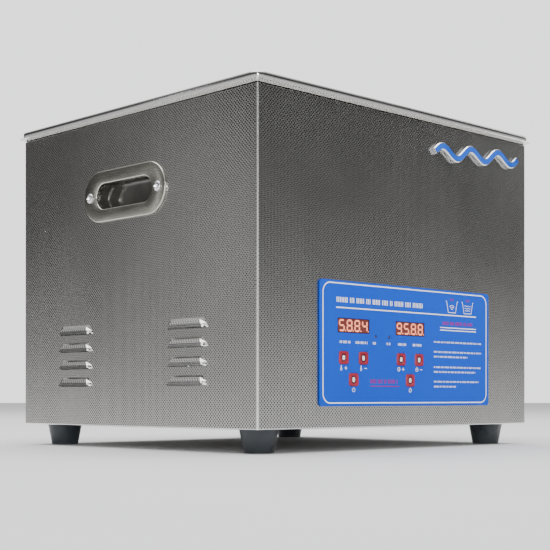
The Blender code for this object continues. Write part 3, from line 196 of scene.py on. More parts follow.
def embossed_steel():
    """Sheet rolled with staggered dimples, painted nearly black as shade and dark reflection in a lighter
    net, with painted highlights along the bends, the bottom fold and faces tilted a little upwards.
    """
    paint = Paint("embossed_steel_looks", STEEL, 1.0, 0.3)
    where = paint.add("ShaderNodeSeparateXYZ", {0: paint.place})
    true_normal = paint.add("ShaderNodeNewGeometry").outputs["True Normal"]
    facing = paint.add("ShaderNodeSeparateXYZ", {0: true_normal})
    sideways = paint.math("GREATER_THAN", paint.math("ABSOLUTE", facing.outputs[0]), 0.707)
    across = paint.add("ShaderNodeMix", {"Factor": sideways, "A": where.outputs[0], "B": where.outputs[1]})
    waves = [
        paint.math("COSINE", paint.math("MULTIPLY", value, 2 * math.pi / pitch))
        for value, pitch in ((across.outputs[0], EMBOSS_ACROSS), (where.outputs[2], EMBOSS_UP))
    ]
    lattice = paint.math("MULTIPLY", *waves)
    upright = paint.math("LESS_THAN", paint.math("ABSOLUTE", facing.outputs[2]), 0.5)
    past = []
    for axis, centre, size in ((0, CASE_X, CASE_W), (1, CASE_Y, CASE_D)):
        off_centre = paint.math("ABSOLUTE", paint.math("SUBTRACT", where.outputs[axis], centre))
        past.append(paint.math("SUBTRACT", off_centre, size / 2 - BEND_HIGHLIGHT))
    # Painted highlights: near the corner bends and along the bottom fold the sheet is coloured near-white
    # and left without its dimple pattern
    bend = paint.ranged(paint.math("MINIMUM", *past), 0, 1, -0.2 * MM, 0.5 * MM)
    fold_top = CASE_BOTTOM + FOLD_HIGHLIGHT
    fold = paint.ranged(where.outputs[2], 1, 0, fold_top - 0.3 * MM, fold_top + 0.2 * MM)
    flat = paint.math("MAXIMUM", bend, fold)
    dotted = paint.math("MULTIPLY", upright, paint.math("SUBTRACT", 1.0, flat))
    # The dimples: real relief and roughness, and painted shade as well, coloured nearly black for the dark
    # reflection in each hollow
    dimples_and_shade = paint.math("MULTIPLY", paint.ranged(lattice, 0, 1, -0.05, 0.35), dotted)
    smudges = paint.noise(9, 3)
    net = paint.blend(paint.ranged(smudges, 0, 1), shade(STEEL, 1.3), shade(STEEL, 1.38))
    # Painted highlight: faces tilted a little upwards are coloured near-white, as if lit from above
    hood_highlight = paint.math("MULTIPLY", upright, paint.ranged(facing.outputs[2], 0, 1, 0.08, 0.14))
    net_and_hood_highlight = paint.blend(hood_highlight, net, (0.93, 0.925, 0.90))
    # painted highlight: the bend and fold strips near-white
    with_highlights = paint.blend(flat, net_and_hood_highlight, (0.97, 0.965, 0.94))
    # painted shade: the dimples nearly black
    colour = paint.blend(dimples_and_shade, with_highlights, shade(STEEL, 0.05))
    paint.tree.links.new(colour, paint.shader.inputs["Base Color"])
    rough = paint.math("ADD", paint.ranged(smudges, 0.23, 0.25), paint.math("MULTIPLY", dimples_and_shade, 0.15))
    paint.tree.links.new(rough, paint.shader.inputs["Roughness"])
    paint.bump(paint.math("SUBTRACT", 1.0, dimples_and_shade), 0.04 * MM, 0.5)
    return paint.material


def film(name, colour):
    """A printed plastic film: almost even colour under a faint matt grain."""
    paint = Paint(name, colour, 0.0, 0.5, Specular_IOR_Level=0.12)
    paint.colour_by(paint.noise(6, 2), shade(colour, 0.97), shade(colour, 1.03))
    paint.rough_by(paint.noise(400, 2), 0.46, 0.54)
    paint.bump(paint.noise(2500, 2), 0.004 * MM)
    return paint.material


def lit(name, colour, strength, body=0.5):
    """A surface that glows a little, over a body colour of the same hue."""
    paint = Paint(name, shade(colour, body), 0.0, 0.45)
    paint.colour_by(paint.noise(500, 2), shade(colour, body * 0.95), shade(colour, body * 1.05))
    paint.shader.inputs["Emission Color"].default_value = (*colour, 1)
    paint.shader.inputs["Emission Strength"].default_value = strength
    return paint.material


def circuit_board():
    paint = Paint("circuit_board_looks", (0.02, 0.16, 0.06), 0.0, 0.4, Coat_Weight=0.4)
    tracks = paint.add("ShaderNodeTexBrick", {"Vector": paint.place, "Scale": 120.0}).outputs["Fac"]
    mottled = paint.blend(paint.ranged(paint.noise(300, 3), 0, 1), (0.015, 0.12, 0.045), (0.03, 0.19, 0.07))
    paint.tree.links.new(paint.blend(tracks, mottled, (0.05, 0.28, 0.1)), paint.shader.inputs["Base Color"])
    paint.bump(tracks, 0.03 * MM)
    return paint.material


EMBOSSED = embossed_steel()
PLAIN_STEEL = brushed("plain_steel_looks", (0.5, 0.495, 0.48), 0.34, "x")
PLATE_STEEL = brushed("plate_steel_looks", (0.52, 0.51, 0.45), 0.22, "y", 0.002 * MM)
LID_STEEL = brushed("lid_steel_looks", (0.5, 0.495, 0.485), 0.16, "x", 0.002 * MM)
TANK_STEEL = brushed("tank_steel_looks", (0.84, 0.835, 0.82), 0.19, "x", 0.002 * MM)
CHROME = polished("chrome_looks", (0.78, 0.78, 0.79), 0.09)
BRASS = polished("plated_brass_looks", (0.70, 0.66, 0.56), 0.22)
ALUMINIUM = brushed("aluminium_looks", (0.72, 0.73, 0.74), 0.36, "z")
RUBBER = moulded("rubber_looks", (0.030, 0.036, 0.042), 0.3, 900, 0.008 * MM)
SILICONE = moulded("silicone_looks", (0.5, 0.16, 0.08), 0.6)
RIM_SEAL = moulded("rim_seal_looks", (0.05, 0.05, 0.048), 0.6)
BLACK_PLASTIC = moulded("black_plastic_looks", (0.022, 0.022, 0.023), 0.32)
CUP_PLASTIC = moulded("cup_plastic_looks", (0.05, 0.047, 0.042), 0.14, 700, 0.002 * MM, Coat_Weight=0.5)
PANEL_BLUE = film("panel_blue_looks", (0.004, 0.085, 0.66))
KEY_RED = moulded("key_red_looks", (0.34, 0.008, 0.03), 0.34, 2500, 0.01 * MM)
DARK_BEZEL_AND_KEY_SHADE = moulded("key_dark_looks", (0.05, 0.008, 0.018), 0.25, 2500, 0.005 * MM)
# White print made to glow a little: painted light, since nothing lights it from inside; the key tips use it
# as their painted highlight
PRINT_WHITE_PAINTED_GLOW = lit("print_white_painted_glow_looks", (1.0, 1.0, 1.0), 0.22, 0.95)
PRINT_RED = film("print_red_looks", (0.42, 0.006, 0.12))
DISPLAY_TINT = lit("display_looks", (0.30, 0.045, 0.03), 0.1)
DIGIT = lit("digit_looks", (1.0, 0.30, 0.17), 2.0)
LAMP = moulded("lamp_looks", (0.03, 0.012, 0.014), 0.15, 2500, 0.002 * MM, Coat_Weight=0.7)
ROCKER_RED = moulded("rocker_red_looks", (0.5, 0.015, 0.012), 0.28, Coat_Weight=0.3)
LEVER_RED = moulded("lever_red_looks", (0.48, 0.018, 0.015), 0.38, 1200, 0.03 * MM)
BADGE_BLUE = moulded("badge_blue_looks", (0.006, 0.11, 0.66), 0.3, 2500, 0.004 * MM, Coat_Weight=0.3)
STACK_METAL = brushed("stack_looks", (0.42, 0.40, 0.38), 0.4, "z")
FERRITE = moulded("ferrite_looks", (0.07, 0.07, 0.075), 0.6, 600, 0.06 * MM)
BOARD = circuit_board()

SLOT_LOOKS = {
    "embossed_steel": EMBOSSED,
    "plain_steel": PLAIN_STEEL,
    "plate_steel": PLATE_STEEL,
    "lid_steel": LID_STEEL,
    "tank_steel": TANK_STEEL,
    "chrome": CHROME,
    "badge": CHROME,
    "brass": BRASS,
    "aluminium": ALUMINIUM,
    "rubber": RUBBER,
    "silicone": SILICONE,
    "black_plastic": BLACK_PLASTIC,
    "panel_blue": PANEL_BLUE,
    "key_red": KEY_RED,
    "display": DISPLAY_TINT,
    "rocker_red": ROCKER_RED,
    "lever_red": LEVER_RED,
    "board_green": BOARD,
    "stack": STACK_METAL,
    "ferrite": FERRITE,
}


# Outlines: lists of (x, y), anticlockwise


def circle(radius, steps=48):
    turns = [2 * math.pi * i / steps for i in range(steps)]
    return [(radius * math.cos(turn), radius * math.sin(turn)) for turn in turns]


def rounded(width, height, radius, steps=10):
    points = []
    for quarter, (side_x, side_y) in enumerate(((1, 1), (-1, 1), (-1, -1), (1, -1))):
        for step in range(steps + 1):
            angle = math.pi / 2 * (quarter + step / steps)
            x = side_x * (width / 2 - radius) + radius * math.cos(angle)
            y = side_y * (height / 2 - radius) + radius * math.sin(angle)
            if not points or math.dist((x, y), points[-1]) > 1e-7:
                points.append((x, y))
    if math.dist(points[0], points[-1]) < 1e-7:
        points.pop()
    return points


def stadium(length, height, steps=16):
    return rounded(length, height, height / 2 - 1e-6, steps)


def moved(outline, x, y):
    return [(px + x, py + y) for px, py in outline]


# Shells: (rings, closed)


def stack(*levels):
    return ([[(x, y, z) for x, y in outline] for outline, z in levels], False)


def loop(*levels):
    return (stack(*levels)[0], True)


def prism(outline, low, high):
    return stack((outline, low), (outline, high))


def turned(profile, steps=48):
    """A solid of revolution from (radius, height) points, upwards on the outside."""
    return stack(*((circle(radius, steps), z) for radius, z in profile))


def stroke(points, width, low, high, closed=False):
    """A line of constant width through (x, y) points, as a thin raised strip."""
    left = []
    right = []
    count = len(points)
    for i, point in enumerate(points):
        before = Vector(points[i - 1] if closed or i else points[i])
        after = Vector(points[(i + 1) % count] if closed or i < count - 1 else points[i])
        here = Vector(point)
        ways = [way.normalized() for way in (here - before, after - here) if way.length > 1e-9]
        way = sum(ways, Vector((0, 0))).normalized()
        normal = Vector((-way.y, way.x))
        reach = width / 2 / max(0.5, normal.dot(Vector((-ways[0].y, ways[0].x))))
        left.append(here + normal * reach)
        right.append(here - normal * reach)
    if closed:
        corners = ((right, low), (right, high), (left, high), (left, low))
        return ([[(p.x, p.y, z) for p in side] for side, z in corners], True)
    outline = [tuple(p) for p in right + left[::-1]]
    return prism(outline, low, high)


def swept(points, radius, steps=16):
    """A round rod along a path of points."""
    places = [Vector(p) for p in points]
    rings = []
    side = None
    for i, here in enumerate(places):
        way = (places[min(i + 1, len(places) - 1)] - places[max(i - 1, 0)]).normalized()
        if side is None:
            side = way.orthogonal().normalized()
        side = (side - way * side.dot(way)).normalized()
        up = way.cross(side)
        rings.append([here + radius * (side * x + up * y) for x, y in circle(1, steps)])
    return (rings, False)


def torus(radius, thickness, steps=64, around=10, height=0.0):
    rings = []
    for i in range(around):
        turn = 2 * math.pi * i / around
        outline = circle(radius + thickness * math.cos(turn), steps)
        rings.append((outline, height + thickness * math.sin(turn)))
    return loop(*rings)


def shifted(shell, x, y):
    rings, closed = shell
    return ([[(px + x, py + y, z) for px, py, z in points] for points in rings], closed)


def mesh_of(name, shells):
    bm = bmesh.new()
    for rings, closed in shells:
        made = [[bm.verts.new(point) for point in ring] for ring in rings]
        pairs = list(zip(made, made[1:]))
        if closed:
            pairs.append((made[-1], made[0]))
        for low, high in pairs:
            for i in range(len(low)):
                j = (i + 1) % len(low)
                bm.faces.new((low[i], low[j], high[j], high[i]))
        if not closed:
            bm.faces.new(made[0][::-1])
            bm.faces.new(made[-1])
    bmesh.ops.recalc_face_normals(bm, faces=bm.faces)
    mesh = bpy.data.meshes.new(name)
    bm.to_mesh(mesh)
    bm.free()
    return mesh


def facing_matrix(at, facing):
    return Matrix.Translation(at) @ Euler(facing).to_matrix().to_4x4()


def cut(mesh, shells):
    """The mesh with each closed shell taken out of it."""
    solid = bpy.data.objects.new("solid", mesh)
    tools = [bpy.data.objects.new("cutter", mesh_of("cutter", [shell])) for shell in shells]
    for made in (solid, *tools):
        bpy.context.scene.collection.objects.link(made)
    for tool in tools:
        step = solid.modifiers.new("cut", "BOOLEAN")
        step.operation = "DIFFERENCE"
        step.solver = "EXACT"
        step.object = tool
    bpy.context.view_layer.update()
    result = bpy.data.meshes.new_from_object(solid.evaluated_get(bpy.context.evaluated_depsgraph_get()))
    for made in (solid, *tools):
        bpy.data.objects.remove(made)
    return result


def piece(
    name, shells, finish, at=(0, 0, 0), facing=UPRIGHT, body="housing", replaces=(),
    smooth=40, bevel=0.0, cutters=(),
):
    """A visible piece: its shells made in place, smooth up to an angle, riding on a body."""
    mesh = mesh_of(name, shells)
    if cutters:
        mesh = cut(mesh, cutters)
    mesh.name = name
    mesh.transform(facing_matrix(at, facing))
    mesh.materials.clear()
    mesh.materials.append(finish)
    mesh.shade_smooth()
    mesh.set_sharp_from_angle(angle=math.radians(smooth))
    made = bpy.data.objects.new(name, mesh)
    bpy.context.scene.collection.objects.link(made)
    if bevel:
        edge = made.modifiers.new("edges", "BEVEL")
        edge.width = bevel
        edge.segments = 2
        edge.limit_method = "ANGLE"
        edge.angle_limit = math.radians(40)
        edge.harden_normals = True
    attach(made, body)
    if replaces:
        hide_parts(*replaces)
    return made


def middle(node):
    low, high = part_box(node)
    return (low + high) / 2


def extent(node):
    low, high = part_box(node)
    return high - low


# CAD nodes that stay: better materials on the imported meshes


def dress_cad():
    slots = {entry["node"]: entry["material_slot"] for entry in frame["record"]["subparts"]}
    for name, obj in frame["nodes"].items():
        looks = RIM_SEAL if name == "tank_gasket" else SLOT_LOOKS[slots[name]]
        for holder in obj.material_slots:
            holder.material = looks


# Tank and lid: nested plans with fine round corners and folds

DRAIN_FROM_FRONT = 13 * MM  # the drain hole's centre, behind the front of the drain pipe
DRAIN_R = 7.1 * MM


def tank_ring(grow, height):
    return (rounded(TANK_W + 2 * grow, TANK_D + 2 * grow, TANK_CORNER_R + grow, 12), height)


def rim_ring(grow, radius, height):
    return (rounded(CASE_W + 2 * grow, CASE_D + 2 * grow, radius, 12), height)


def fold(centre_grow, centre_height, radius, start, end, ring=tank_ring, steps=6):
    """Levels round a fold's quarter circle, angles in degrees from outwards to upwards."""
    levels = []
    for step in range(steps + 1):
        angle = math.radians(start + (end - start) * step / steps)
        levels.append(ring(centre_grow + radius * math.cos(angle), centre_height + radius * math.sin(angle)))
    return levels


def build_tank():
    floor_r = 10 * MM
    mouth_r = 4 * MM
    lip = 0.6 * MM
    under_rim = RIM_TOP - TANK_WALL
    levels = fold(-floor_r, TANK_FLOOR + floor_r, floor_r, -90, 0)
    levels += fold(mouth_r, RIM_TOP - mouth_r, mouth_r, 180, 90)
    levels += [
        rim_ring(RIM_OVERHANG - lip, 4.4 * MM, RIM_TOP),
        rim_ring(RIM_OVERHANG - lip * 0.3, 4.7 * MM, RIM_TOP - lip * 0.3),
        rim_ring(RIM_OVERHANG, 5 * MM, RIM_TOP - lip),
        rim_ring(GAP, 2 * MM, CASE_TOP + GAP),
        rim_ring(GAP - TANK_WALL, 1.5 * MM, CASE_TOP + GAP),
        rim_ring(RIM_OVERHANG - lip - 2.4 * TANK_WALL, 2 * MM, under_rim),
        tank_ring(TANK_WALL + mouth_r, under_rim),
        tank_ring(TANK_WALL, under_rim - mouth_r),
    ]
    levels += fold(-floor_r, TANK_FLOOR + floor_r, floor_r + TANK_WALL, 0, -90)
    shell = stack(*levels)
    hole = prism(moved(circle(DRAIN_R), *drain_at()), -5 * MM + TANK_FLOOR, 5 * MM + TANK_FLOOR)
    at = (CASE_X, CASE_Y, 0)
    piece("tank_pressing", [shell], TANK_STEEL, at, replaces=("tank",), cutters=[hole])


def drain_at():
    """The tank's drain hole, from the tank's middle."""
    low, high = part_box("drain_pipe")
    return ((low.x + high.x) / 2 - CASE_X, low.y + DRAIN_FROM_FRONT - CASE_Y)


def build_strainer():
    """A slotted cap over the drain fitting's flange, inside the tank."""
    x, y = drain_at()
    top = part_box("drain_pipe")[1].z
    cap = turned([
        (11 * MM, 0.05 * MM), (11.6 * MM, 0.3 * MM), (11.6 * MM, 0.8 * MM),
        (9 * MM, 1.4 * MM), (7.5 * MM, 1.5 * MM),
    ])
    slots = []
    for i in range(8):
        turn = 2 * math.pi * i / 8
        reach = [(r * math.cos(turn), r * math.sin(turn)) for r in (3 * MM, 8 * MM)]
        slots.append(stroke(reach, 1.2 * MM, -2 * MM, 4 * MM))
    at = (CASE_X + x, CASE_Y + y, top)
    piece("drain_strainer", [cap], CHROME, at, cutters=slots)


def build_lid():
    low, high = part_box("lid")
    outer = (high.x - low.x - CASE_W) / 2
    edge = 1.5 * MM
    sheet = 1.0 * MM
    pan = -2.5 * MM
    pan_r = 3 * MM
    top = high.z
    pan_top = low.z + sheet
    bottom = RIM_TOP + GAP
    corner = 8.5 * MM

    def lid_ring(grow, height):
        return rim_ring(outer + grow, corner + grow, height)

    levels = fold(pan - sheet - pan_r, pan_top + pan_r, pan_r, -90, 0, steps=5)
    levels += fold(pan - sheet + pan_r, top - pan_r, pan_r, 180, 90, steps=5)
    levels += fold(-edge, top - edge, edge, 90, 0, lid_ring, 5)
    levels += [lid_ring(0, bottom + 0.2 * MM), lid_ring(-0.2 * MM, bottom), lid_ring(-0.8 * MM, bottom)]
    levels += [lid_ring(-sheet, bottom + 0.2 * MM), lid_ring(-sheet, top - sheet)]
    levels += [tank_ring(pan + pan_r, top - sheet), tank_ring(pan, top - sheet - pan_r)]
    levels += [tank_ring(pan - pan_r, pan_top - sheet)]
    at = (CASE_X, CASE_Y, 0)
    shell = stack(*levels)
    piece("lid_pressing", [shell], LID_STEEL, at, body="lid", replaces=("lid",), smooth=50)


def build_bow():
    """The lid's handle: a bent rod on two round feet."""
    low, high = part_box("lid_handle")
    radius = 4.5 * MM
    bend = 14 * MM
    centre = (low + high) / 2
    half = (high.x - low.x) / 2 - radius
    rise = high.z - radius
    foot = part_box("lid")[0].z + 1.0 * MM
    points = [(centre.x - half, centre.y, foot), (centre.x - half, centre.y, (foot + rise - bend) / 2)]
    for side, start in ((-1, math.pi), (1, math.pi / 2)):
        for step in range(13):
            angle = start - math.pi / 2 * step / 12
            x = centre.x + side * (half - bend) + bend * math.cos(angle)
            points.append((x, centre.y, rise - bend + bend * math.sin(angle)))
    points += [(centre.x + half, centre.y, (foot + rise - bend) / 2), (centre.x + half, centre.y, foot)]
    rod = swept(points, radius, 28)
    piece("lid_bow", [rod], CHROME, body="lid", replaces=("lid_handle",), smooth=60)
    collar = turned([
        (7.6 * MM, 0.05 * MM), (8 * MM, 0.4 * MM), (8 * MM, 1.0 * MM),
        (6.4 * MM, 1.8 * MM), (4.9 * MM, 2.1 * MM),
    ])
    for side, name in ((-1, "left"), (1, "right")):
        at = (centre.x + side * half, centre.y, foot)
        piece(f"lid_bow_collar_{name}", [collar], CHROME, at, body="lid")


# Side handles

HANDLE_SCREW_AT = 47 * MM  # from the handle's middle
HANDLE_HOLE_R = 1.9 * MM


def handle_holes(low, high):
    """Cutters for the two screws through a handle's plate and cup."""
    places = (-HANDLE_SCREW_AT, HANDLE_SCREW_AT)
    return [prism(moved(circle(HANDLE_HOLE_R, 20), x, 0), low, high) for x in places]


def build_handles():
    plate_t = 1.8 * MM
    bevel = 1.0 * MM
    face = GAP + plate_t
    grip_l, grip_h = 77 * MM, 22 * MM
    for side, side_x, facing in (("left", -1, LEFT), ("right", 1, RIGHT)):
        size = extent(f"handle_plate_{side}")
        place = middle(f"handle_plate_{side}")
        at = (CASE_X + side_x * CASE_W / 2, place.y, place.z)
        length, height = size.y, size.z
        levels = [(stadium(length, height), GAP), (stadium(length, height), face - bevel)]
        for step in range(1, 5):
            angle = math.pi / 2 * step / 4
            inset = 2 * bevel * (1 - math.cos(angle))
            levels.append((stadium(length - inset, height - inset), face - bevel + bevel * math.sin(angle)))
        for step in range(6):
            angle = math.pi / 2 * step / 5
            inset = 2 * bevel * (1 - math.sin(angle))
            levels.append((stadium(grip_l + inset, grip_h + inset), face - bevel + bevel * math.cos(angle)))
        levels += [
            (stadium(grip_l, grip_h), -2.5 * MM),
            (stadium(grip_l + 1.6 * MM, grip_h + 1.6 * MM), -2.5 * MM),
            (stadium(grip_l + 1.6 * MM, grip_h + 1.6 * MM), GAP),
        ]
        name = f"handle_plate_{side}"
        piece(
            name + "_pressing", [loop(*levels)], PLATE_STEEL, at, facing,
            replaces=(name,), cutters=handle_holes(-6 * MM, 6 * MM),
        )
        build_cup(side, at, facing, grip_l, grip_h)
        for end, offset in (("front", -HANDLE_SCREW_AT), ("rear", HANDLE_SCREW_AT)):
            spot = (at[0], at[1] + offset, at[2])
            name = f"handle_screw_{side}_{end}"
            build_screw(
                name + "_head", spot, facing, 4.25 * MM, 1.8 * MM, face + GAP, 10 * MM, replaces=(name,),
            )


def build_cup(side, at, facing, grip_l, grip_h):
    inner = 2 * 1.4 * MM
    outer = inner + 3 * MM
    deep = 13.5 * MM
    base_t = 1.5 * MM
    fillet = 4 * MM
    flange_top, flange_foot = -1.3 * MM, -3.3 * MM

    def cup_ring(grow, height):
        return (stadium(grip_l + grow, grip_h + grow), height)

    levels = []
    for step in range(7):
        angle = math.pi / 2 * step / 6
        grow = inner - 2 * fillet * (1 - math.sin(angle))
        levels.append(cup_ring(grow, -deep + fillet * (1 - math.cos(angle))))
    flange = stadium(106 * MM, 36 * MM)
    levels += [
        cup_ring(inner, 0), cup_ring(outer, 0), cup_ring(outer, flange_top), (flange, flange_top),
        (flange, flange_foot), cup_ring(outer, flange_foot), cup_ring(outer, -deep + fillet - base_t),
        cup_ring(outer - 2 * fillet, -deep - base_t),
    ]
    name = f"handle_cup_{side}"
    piece(
        name + "_moulding", [stack(*levels)], CUP_PLASTIC, at, facing,
        replaces=(name,), cutters=handle_holes(-8 * MM, 2 * MM),
    )


def build_screw(name, at, facing, radius, height, seat, length, body="housing", replaces=()):
    """A pan-head screw with a cross recess, its head's underside on the seat."""
    shank = radius * 0.38
    profile = [(shank, seat - length), (shank, seat), (radius, seat), (radius, seat + 0.25 * height)]
    for step in range(1, 6):
        angle = math.pi / 2 * step / 6
        profile.append((radius * math.cos(angle) ** 0.7, seat + height * (0.25 + 0.75 * math.sin(angle))))
    top = seat + height
    arm = 0.6 * radius
    slots = [stroke([(-arm, 0), (arm, 0)], 0.3 * radius, top - 0.7 * height, top + MM)]
    slots.append(stroke([(0, -arm), (0, arm)], 0.3 * radius, top - 0.7 * height, top + MM))
    piece(name, [turned(profile, 32)], CHROME, at, facing, body, replaces, cutters=slots, smooth=50)


# Control panel: printed film, keys, displays, lamps

PANEL_LOW, PANEL_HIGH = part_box("control_panel")
PANEL_AT = (PANEL_LOW.x, PANEL_LOW.y, PANEL_LOW.z)
INK = (-0.02 * MM, 0.05 * MM)
KEY_NAMES = [f"key_{group}_{what}" for group in ("heat", "timer") for what in ("up", "down", "power")]


def on_panel(node):
    """A node's middle from the panel's lower left corner."""
    centre = middle(node)
    return centre.x - PANEL_LOW.x, centre.z - PANEL_LOW.z


def line(x0, y0, x1, y1, width=0.5 * MM):
    return stroke([(x0, y0), (x1, y1)], width, *INK)


def arc(x, y, radius, start, end, width=0.45 * MM, steps=14):
    turns = [math.radians(start + (end - start) * i / steps) for i in range(steps + 1)]
    return stroke([(x + radius * math.cos(t), y + radius * math.sin(t)) for t in turns], width, *INK)


def ring(x, y, radius, width=0.45 * MM):
    return stroke(moved(circle(radius, 24), x, y), width, *INK, closed=True)


WORD_LENGTHS = (3, 5, 4, 2, 6, 4, 7, 3, 5)


def ticks(x0, x1, y, height, pitch, first=0):
    """A row of short strokes in groups, standing where a line of small print would be."""
    shells = []
    x = x0
    word = first
    while x < x1 - pitch:
        for _ in range(WORD_LENGTHS[word % len(WORD_LENGTHS)]):
            if x > x1 - pitch:
                break
            shells.append(line(x, y, x, y + height, pitch * 0.5))
            x += pitch
        x += pitch
        word += 1
    return shells


def build_border():
    width = PANEL_HIGH.x - PANEL_LOW.x
    inset_x = 3.6 * MM
    low, high = 2.6 * MM, 99.8 * MM
    outline = moved(rounded(width - 2 * inset_x, high - low, 8 * MM, 10), width / 2, (low + high) / 2)
    shells = [stroke(outline, 1.0 * MM, *INK, closed=True)]
    shells.append(line(19 * MM, 80.1 * MM, 205 * MM, 80.1 * MM, 1.0 * MM))
    piece("print_border", shells, PRINT_WHITE_PAINTED_GLOW, PANEL_AT, FRONT)


def basin_icon(x, y):
    """A tank in section with its liquid's level."""
    top, foot, rise = 7.6 * MM, 5.2 * MM, 10 * MM
    sides = [
        (x - top - MM, y + rise), (x - top, y + rise), (x - foot, y),
        (x + foot, y), (x + top, y + rise), (x + top + MM, y + rise),
    ]
    return stroke(sides, 0.55 * MM, *INK)


def wave_line(x, y, half, swing, waves, width):
    points = []
    for i in range(waves * 8 + 1):
        t = i / (waves * 8)
        points.append((x + half * (2 * t - 1), y + swing * math.sin(2 * math.pi * waves * t)))
    return stroke(points, width, *INK)


def build_icons():
    """Two tank pictograms: one for the sound, one for the liquid's level."""
    first_x, second_x, y = 169.8 * MM, 192.5 * MM, 82.6 * MM
    white = [basin_icon(first_x, y), basin_icon(second_x, y)]
    for i in range(3):
        white.append(arc(first_x, y + 1.2 * MM, (2.0 + 1.6 * i) * MM, 50, 130))
        level, half = y + (2.6 + 2.1 * i) * MM, (3.6 + 0.5 * i) * MM
        white.append(wave_line(second_x, level, half, 0.3 * MM, 2, 0.4 * MM))
    piece("print_icons", white, PRINT_WHITE_PAINTED_GLOW, PANEL_AT, FRONT)
    red = []
    for x in (first_x, second_x):
        for i in (-1, 0, 1):
            mark_x = x + i * 1.7 * MM
            red.append(line(mark_x, y + 10.6 * MM, mark_x, y + 12.4 * MM, 0.9 * MM))
    piece("print_icon_marks", red, PRINT_RED, PANEL_AT, FRONT)


def build_small_print():
    """Rows of strokes that take the place of words: a title, labels and notes."""
    title = ticks(20 * MM, 133 * MM, 84.4 * MM, 4.2 * MM, 2.0 * MM, 6)
    piece("print_title", title, PRINT_WHITE_PAINTED_GLOW, PANEL_AT, FRONT)
    labels = []
    spans = ((23.6, 36.7), (42.6, 57.8), (64, 70), (81.5, 87.2), (96.2, 107.7), (115.7, 129.7))
    for number, (start, end) in enumerate(spans):
        labels += ticks(start * MM, end * MM, 51.2 * MM, 2.1 * MM, 1.0 * MM, number)
    piece("print_labels", labels, PRINT_WHITE_PAINTED_GLOW, PANEL_AT, FRONT)
    notes = []
    rows = (
        (56, 213.8), (47.3, 214.2), (43.1, 193.5), (33.9, 212.6), (29.7, 205.1), (21.1, 210.1), (16.8, 178),
    )
    for number, (up, end) in enumerate(rows):
        notes += ticks(144.7 * MM, end * MM, (up - 0.9) * MM, 1.5 * MM, 0.98 * MM, number)
    notes += [line(153 * MM, up * MM, 205 * MM, up * MM, 0.8 * MM) for up in (68.9, 66.6)]
    piece("print_notes", notes, PRINT_WHITE_PAINTED_GLOW, PANEL_AT, FRONT)
    red = ticks(157 * MM, 203.5 * MM, 71.3 * MM, 3.0 * MM, 1.5 * MM, 4)
    red += ticks(61 * MM, 97.5 * MM, 18.8 * MM, 3.4 * MM, 1.6 * MM, 1)
    red.append(line(60.5 * MM, 16.5 * MM, 97.5 * MM, 16.5 * MM, 0.7 * MM))
    piece("print_red_rows", red, PRINT_RED, PANEL_AT, FRONT)


def build_key_marks():
    """Under each key: a thermometer or a clock with plus or minus, or the power symbol."""
    shells = []
    for name in KEY_NAMES:
        _, group, what = name.split("_")
        x, y = on_panel(name)
        y -= 8.4 * MM
        if what == "power":
            shells += [arc(x, y, 1.6 * MM, 125, 415), line(x, y + 0.2 * MM, x, y + 2.2 * MM, 0.45 * MM)]
            continue
        left, right = x - 3.0 * MM, x + 2.6 * MM
        if group == "heat":
            shells += [ring(left, y - 0.9 * MM, 0.9 * MM), line(left, y, left, y + 2.2 * MM, 0.8 * MM)]
        else:
            hands = [(left, y + 1.1 * MM), (left, y), (left + 0.8 * MM, y)]
            shells += [ring(left, y, 1.6 * MM), stroke(hands, 0.35 * MM, *INK)]
        shells.append(line(right - 1.5 * MM, y, right + 1.5 * MM, y, 0.6 * MM))
        if what == "up":
            shells.append(line(right, y - 1.5 * MM, right, y + 1.5 * MM, 0.6 * MM))
    piece("print_key_marks", shells, PRINT_WHITE_PAINTED_GLOW, PANEL_AT, FRONT)


def build_keys():
    """A red cap with an oval well, painted dark inside as shade, round a raised tip painted white as a
    highlight.
    """
    cap, top = rounded(11.6 * MM, 10.4 * MM, 2.2 * MM, 8), rounded(10.8 * MM, 9.6 * MM, 1.9 * MM, 8)
    flange, plunger = rounded(14 * MM, 12.8 * MM, 2.2 * MM, 8), rounded(7 * MM, 7 * MM, 1 * MM, 8)
    lip, floor = rounded(6.6 * MM, 7.4 * MM, 3.2 * MM, 8), rounded(5.6 * MM, 6.4 * MM, 2.7 * MM, 8)
    tip_sizes = ((2.7, 4.1, 1.3), (2.5, 3.9, 1.2), (1.7, 3.1, 0.8))
    tip = [rounded(w * MM, h * MM, r * MM, 8) for w, h, r in tip_sizes]
    for name in KEY_NAMES:
        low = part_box(name)[0]
        centre = middle(name)
        deep = extent(name).y
        at = (centre.x, low.y, centre.z)
        levels = [
            (plunger, -deep), (plunger, -3.7 * MM), (flange, -3.3 * MM), (flange, -2.1 * MM),
            (cap, -2.1 * MM), (cap, -0.5 * MM), (top, 0), (lip, 0), (floor, -0.9 * MM),
        ]
        piece(name + "_cap", [stack(*levels)], KEY_RED, at, FRONT, name, (name,), smooth=30)
        # Painted shade: a thin dark disc on the well's floor for the shade round the dome
        well_shade = prism(rounded(5.5 * MM, 6.3 * MM, 2.65 * MM, 8), -0.95 * MM, -0.75 * MM)
        piece(name + "_well_shade", [well_shade], DARK_BEZEL_AND_KEY_SHADE, at, FRONT, name)
        # Painted highlight: the raised tip in glowing white for the glint on the dome
        raised = stack((tip[0], -0.9 * MM), (tip[1], -0.3 * MM), (tip[2], -0.02 * MM))
        piece(name + "_tip_highlight", [raised], PRINT_WHITE_PAINTED_GLOW, at, FRONT, name, smooth=60)


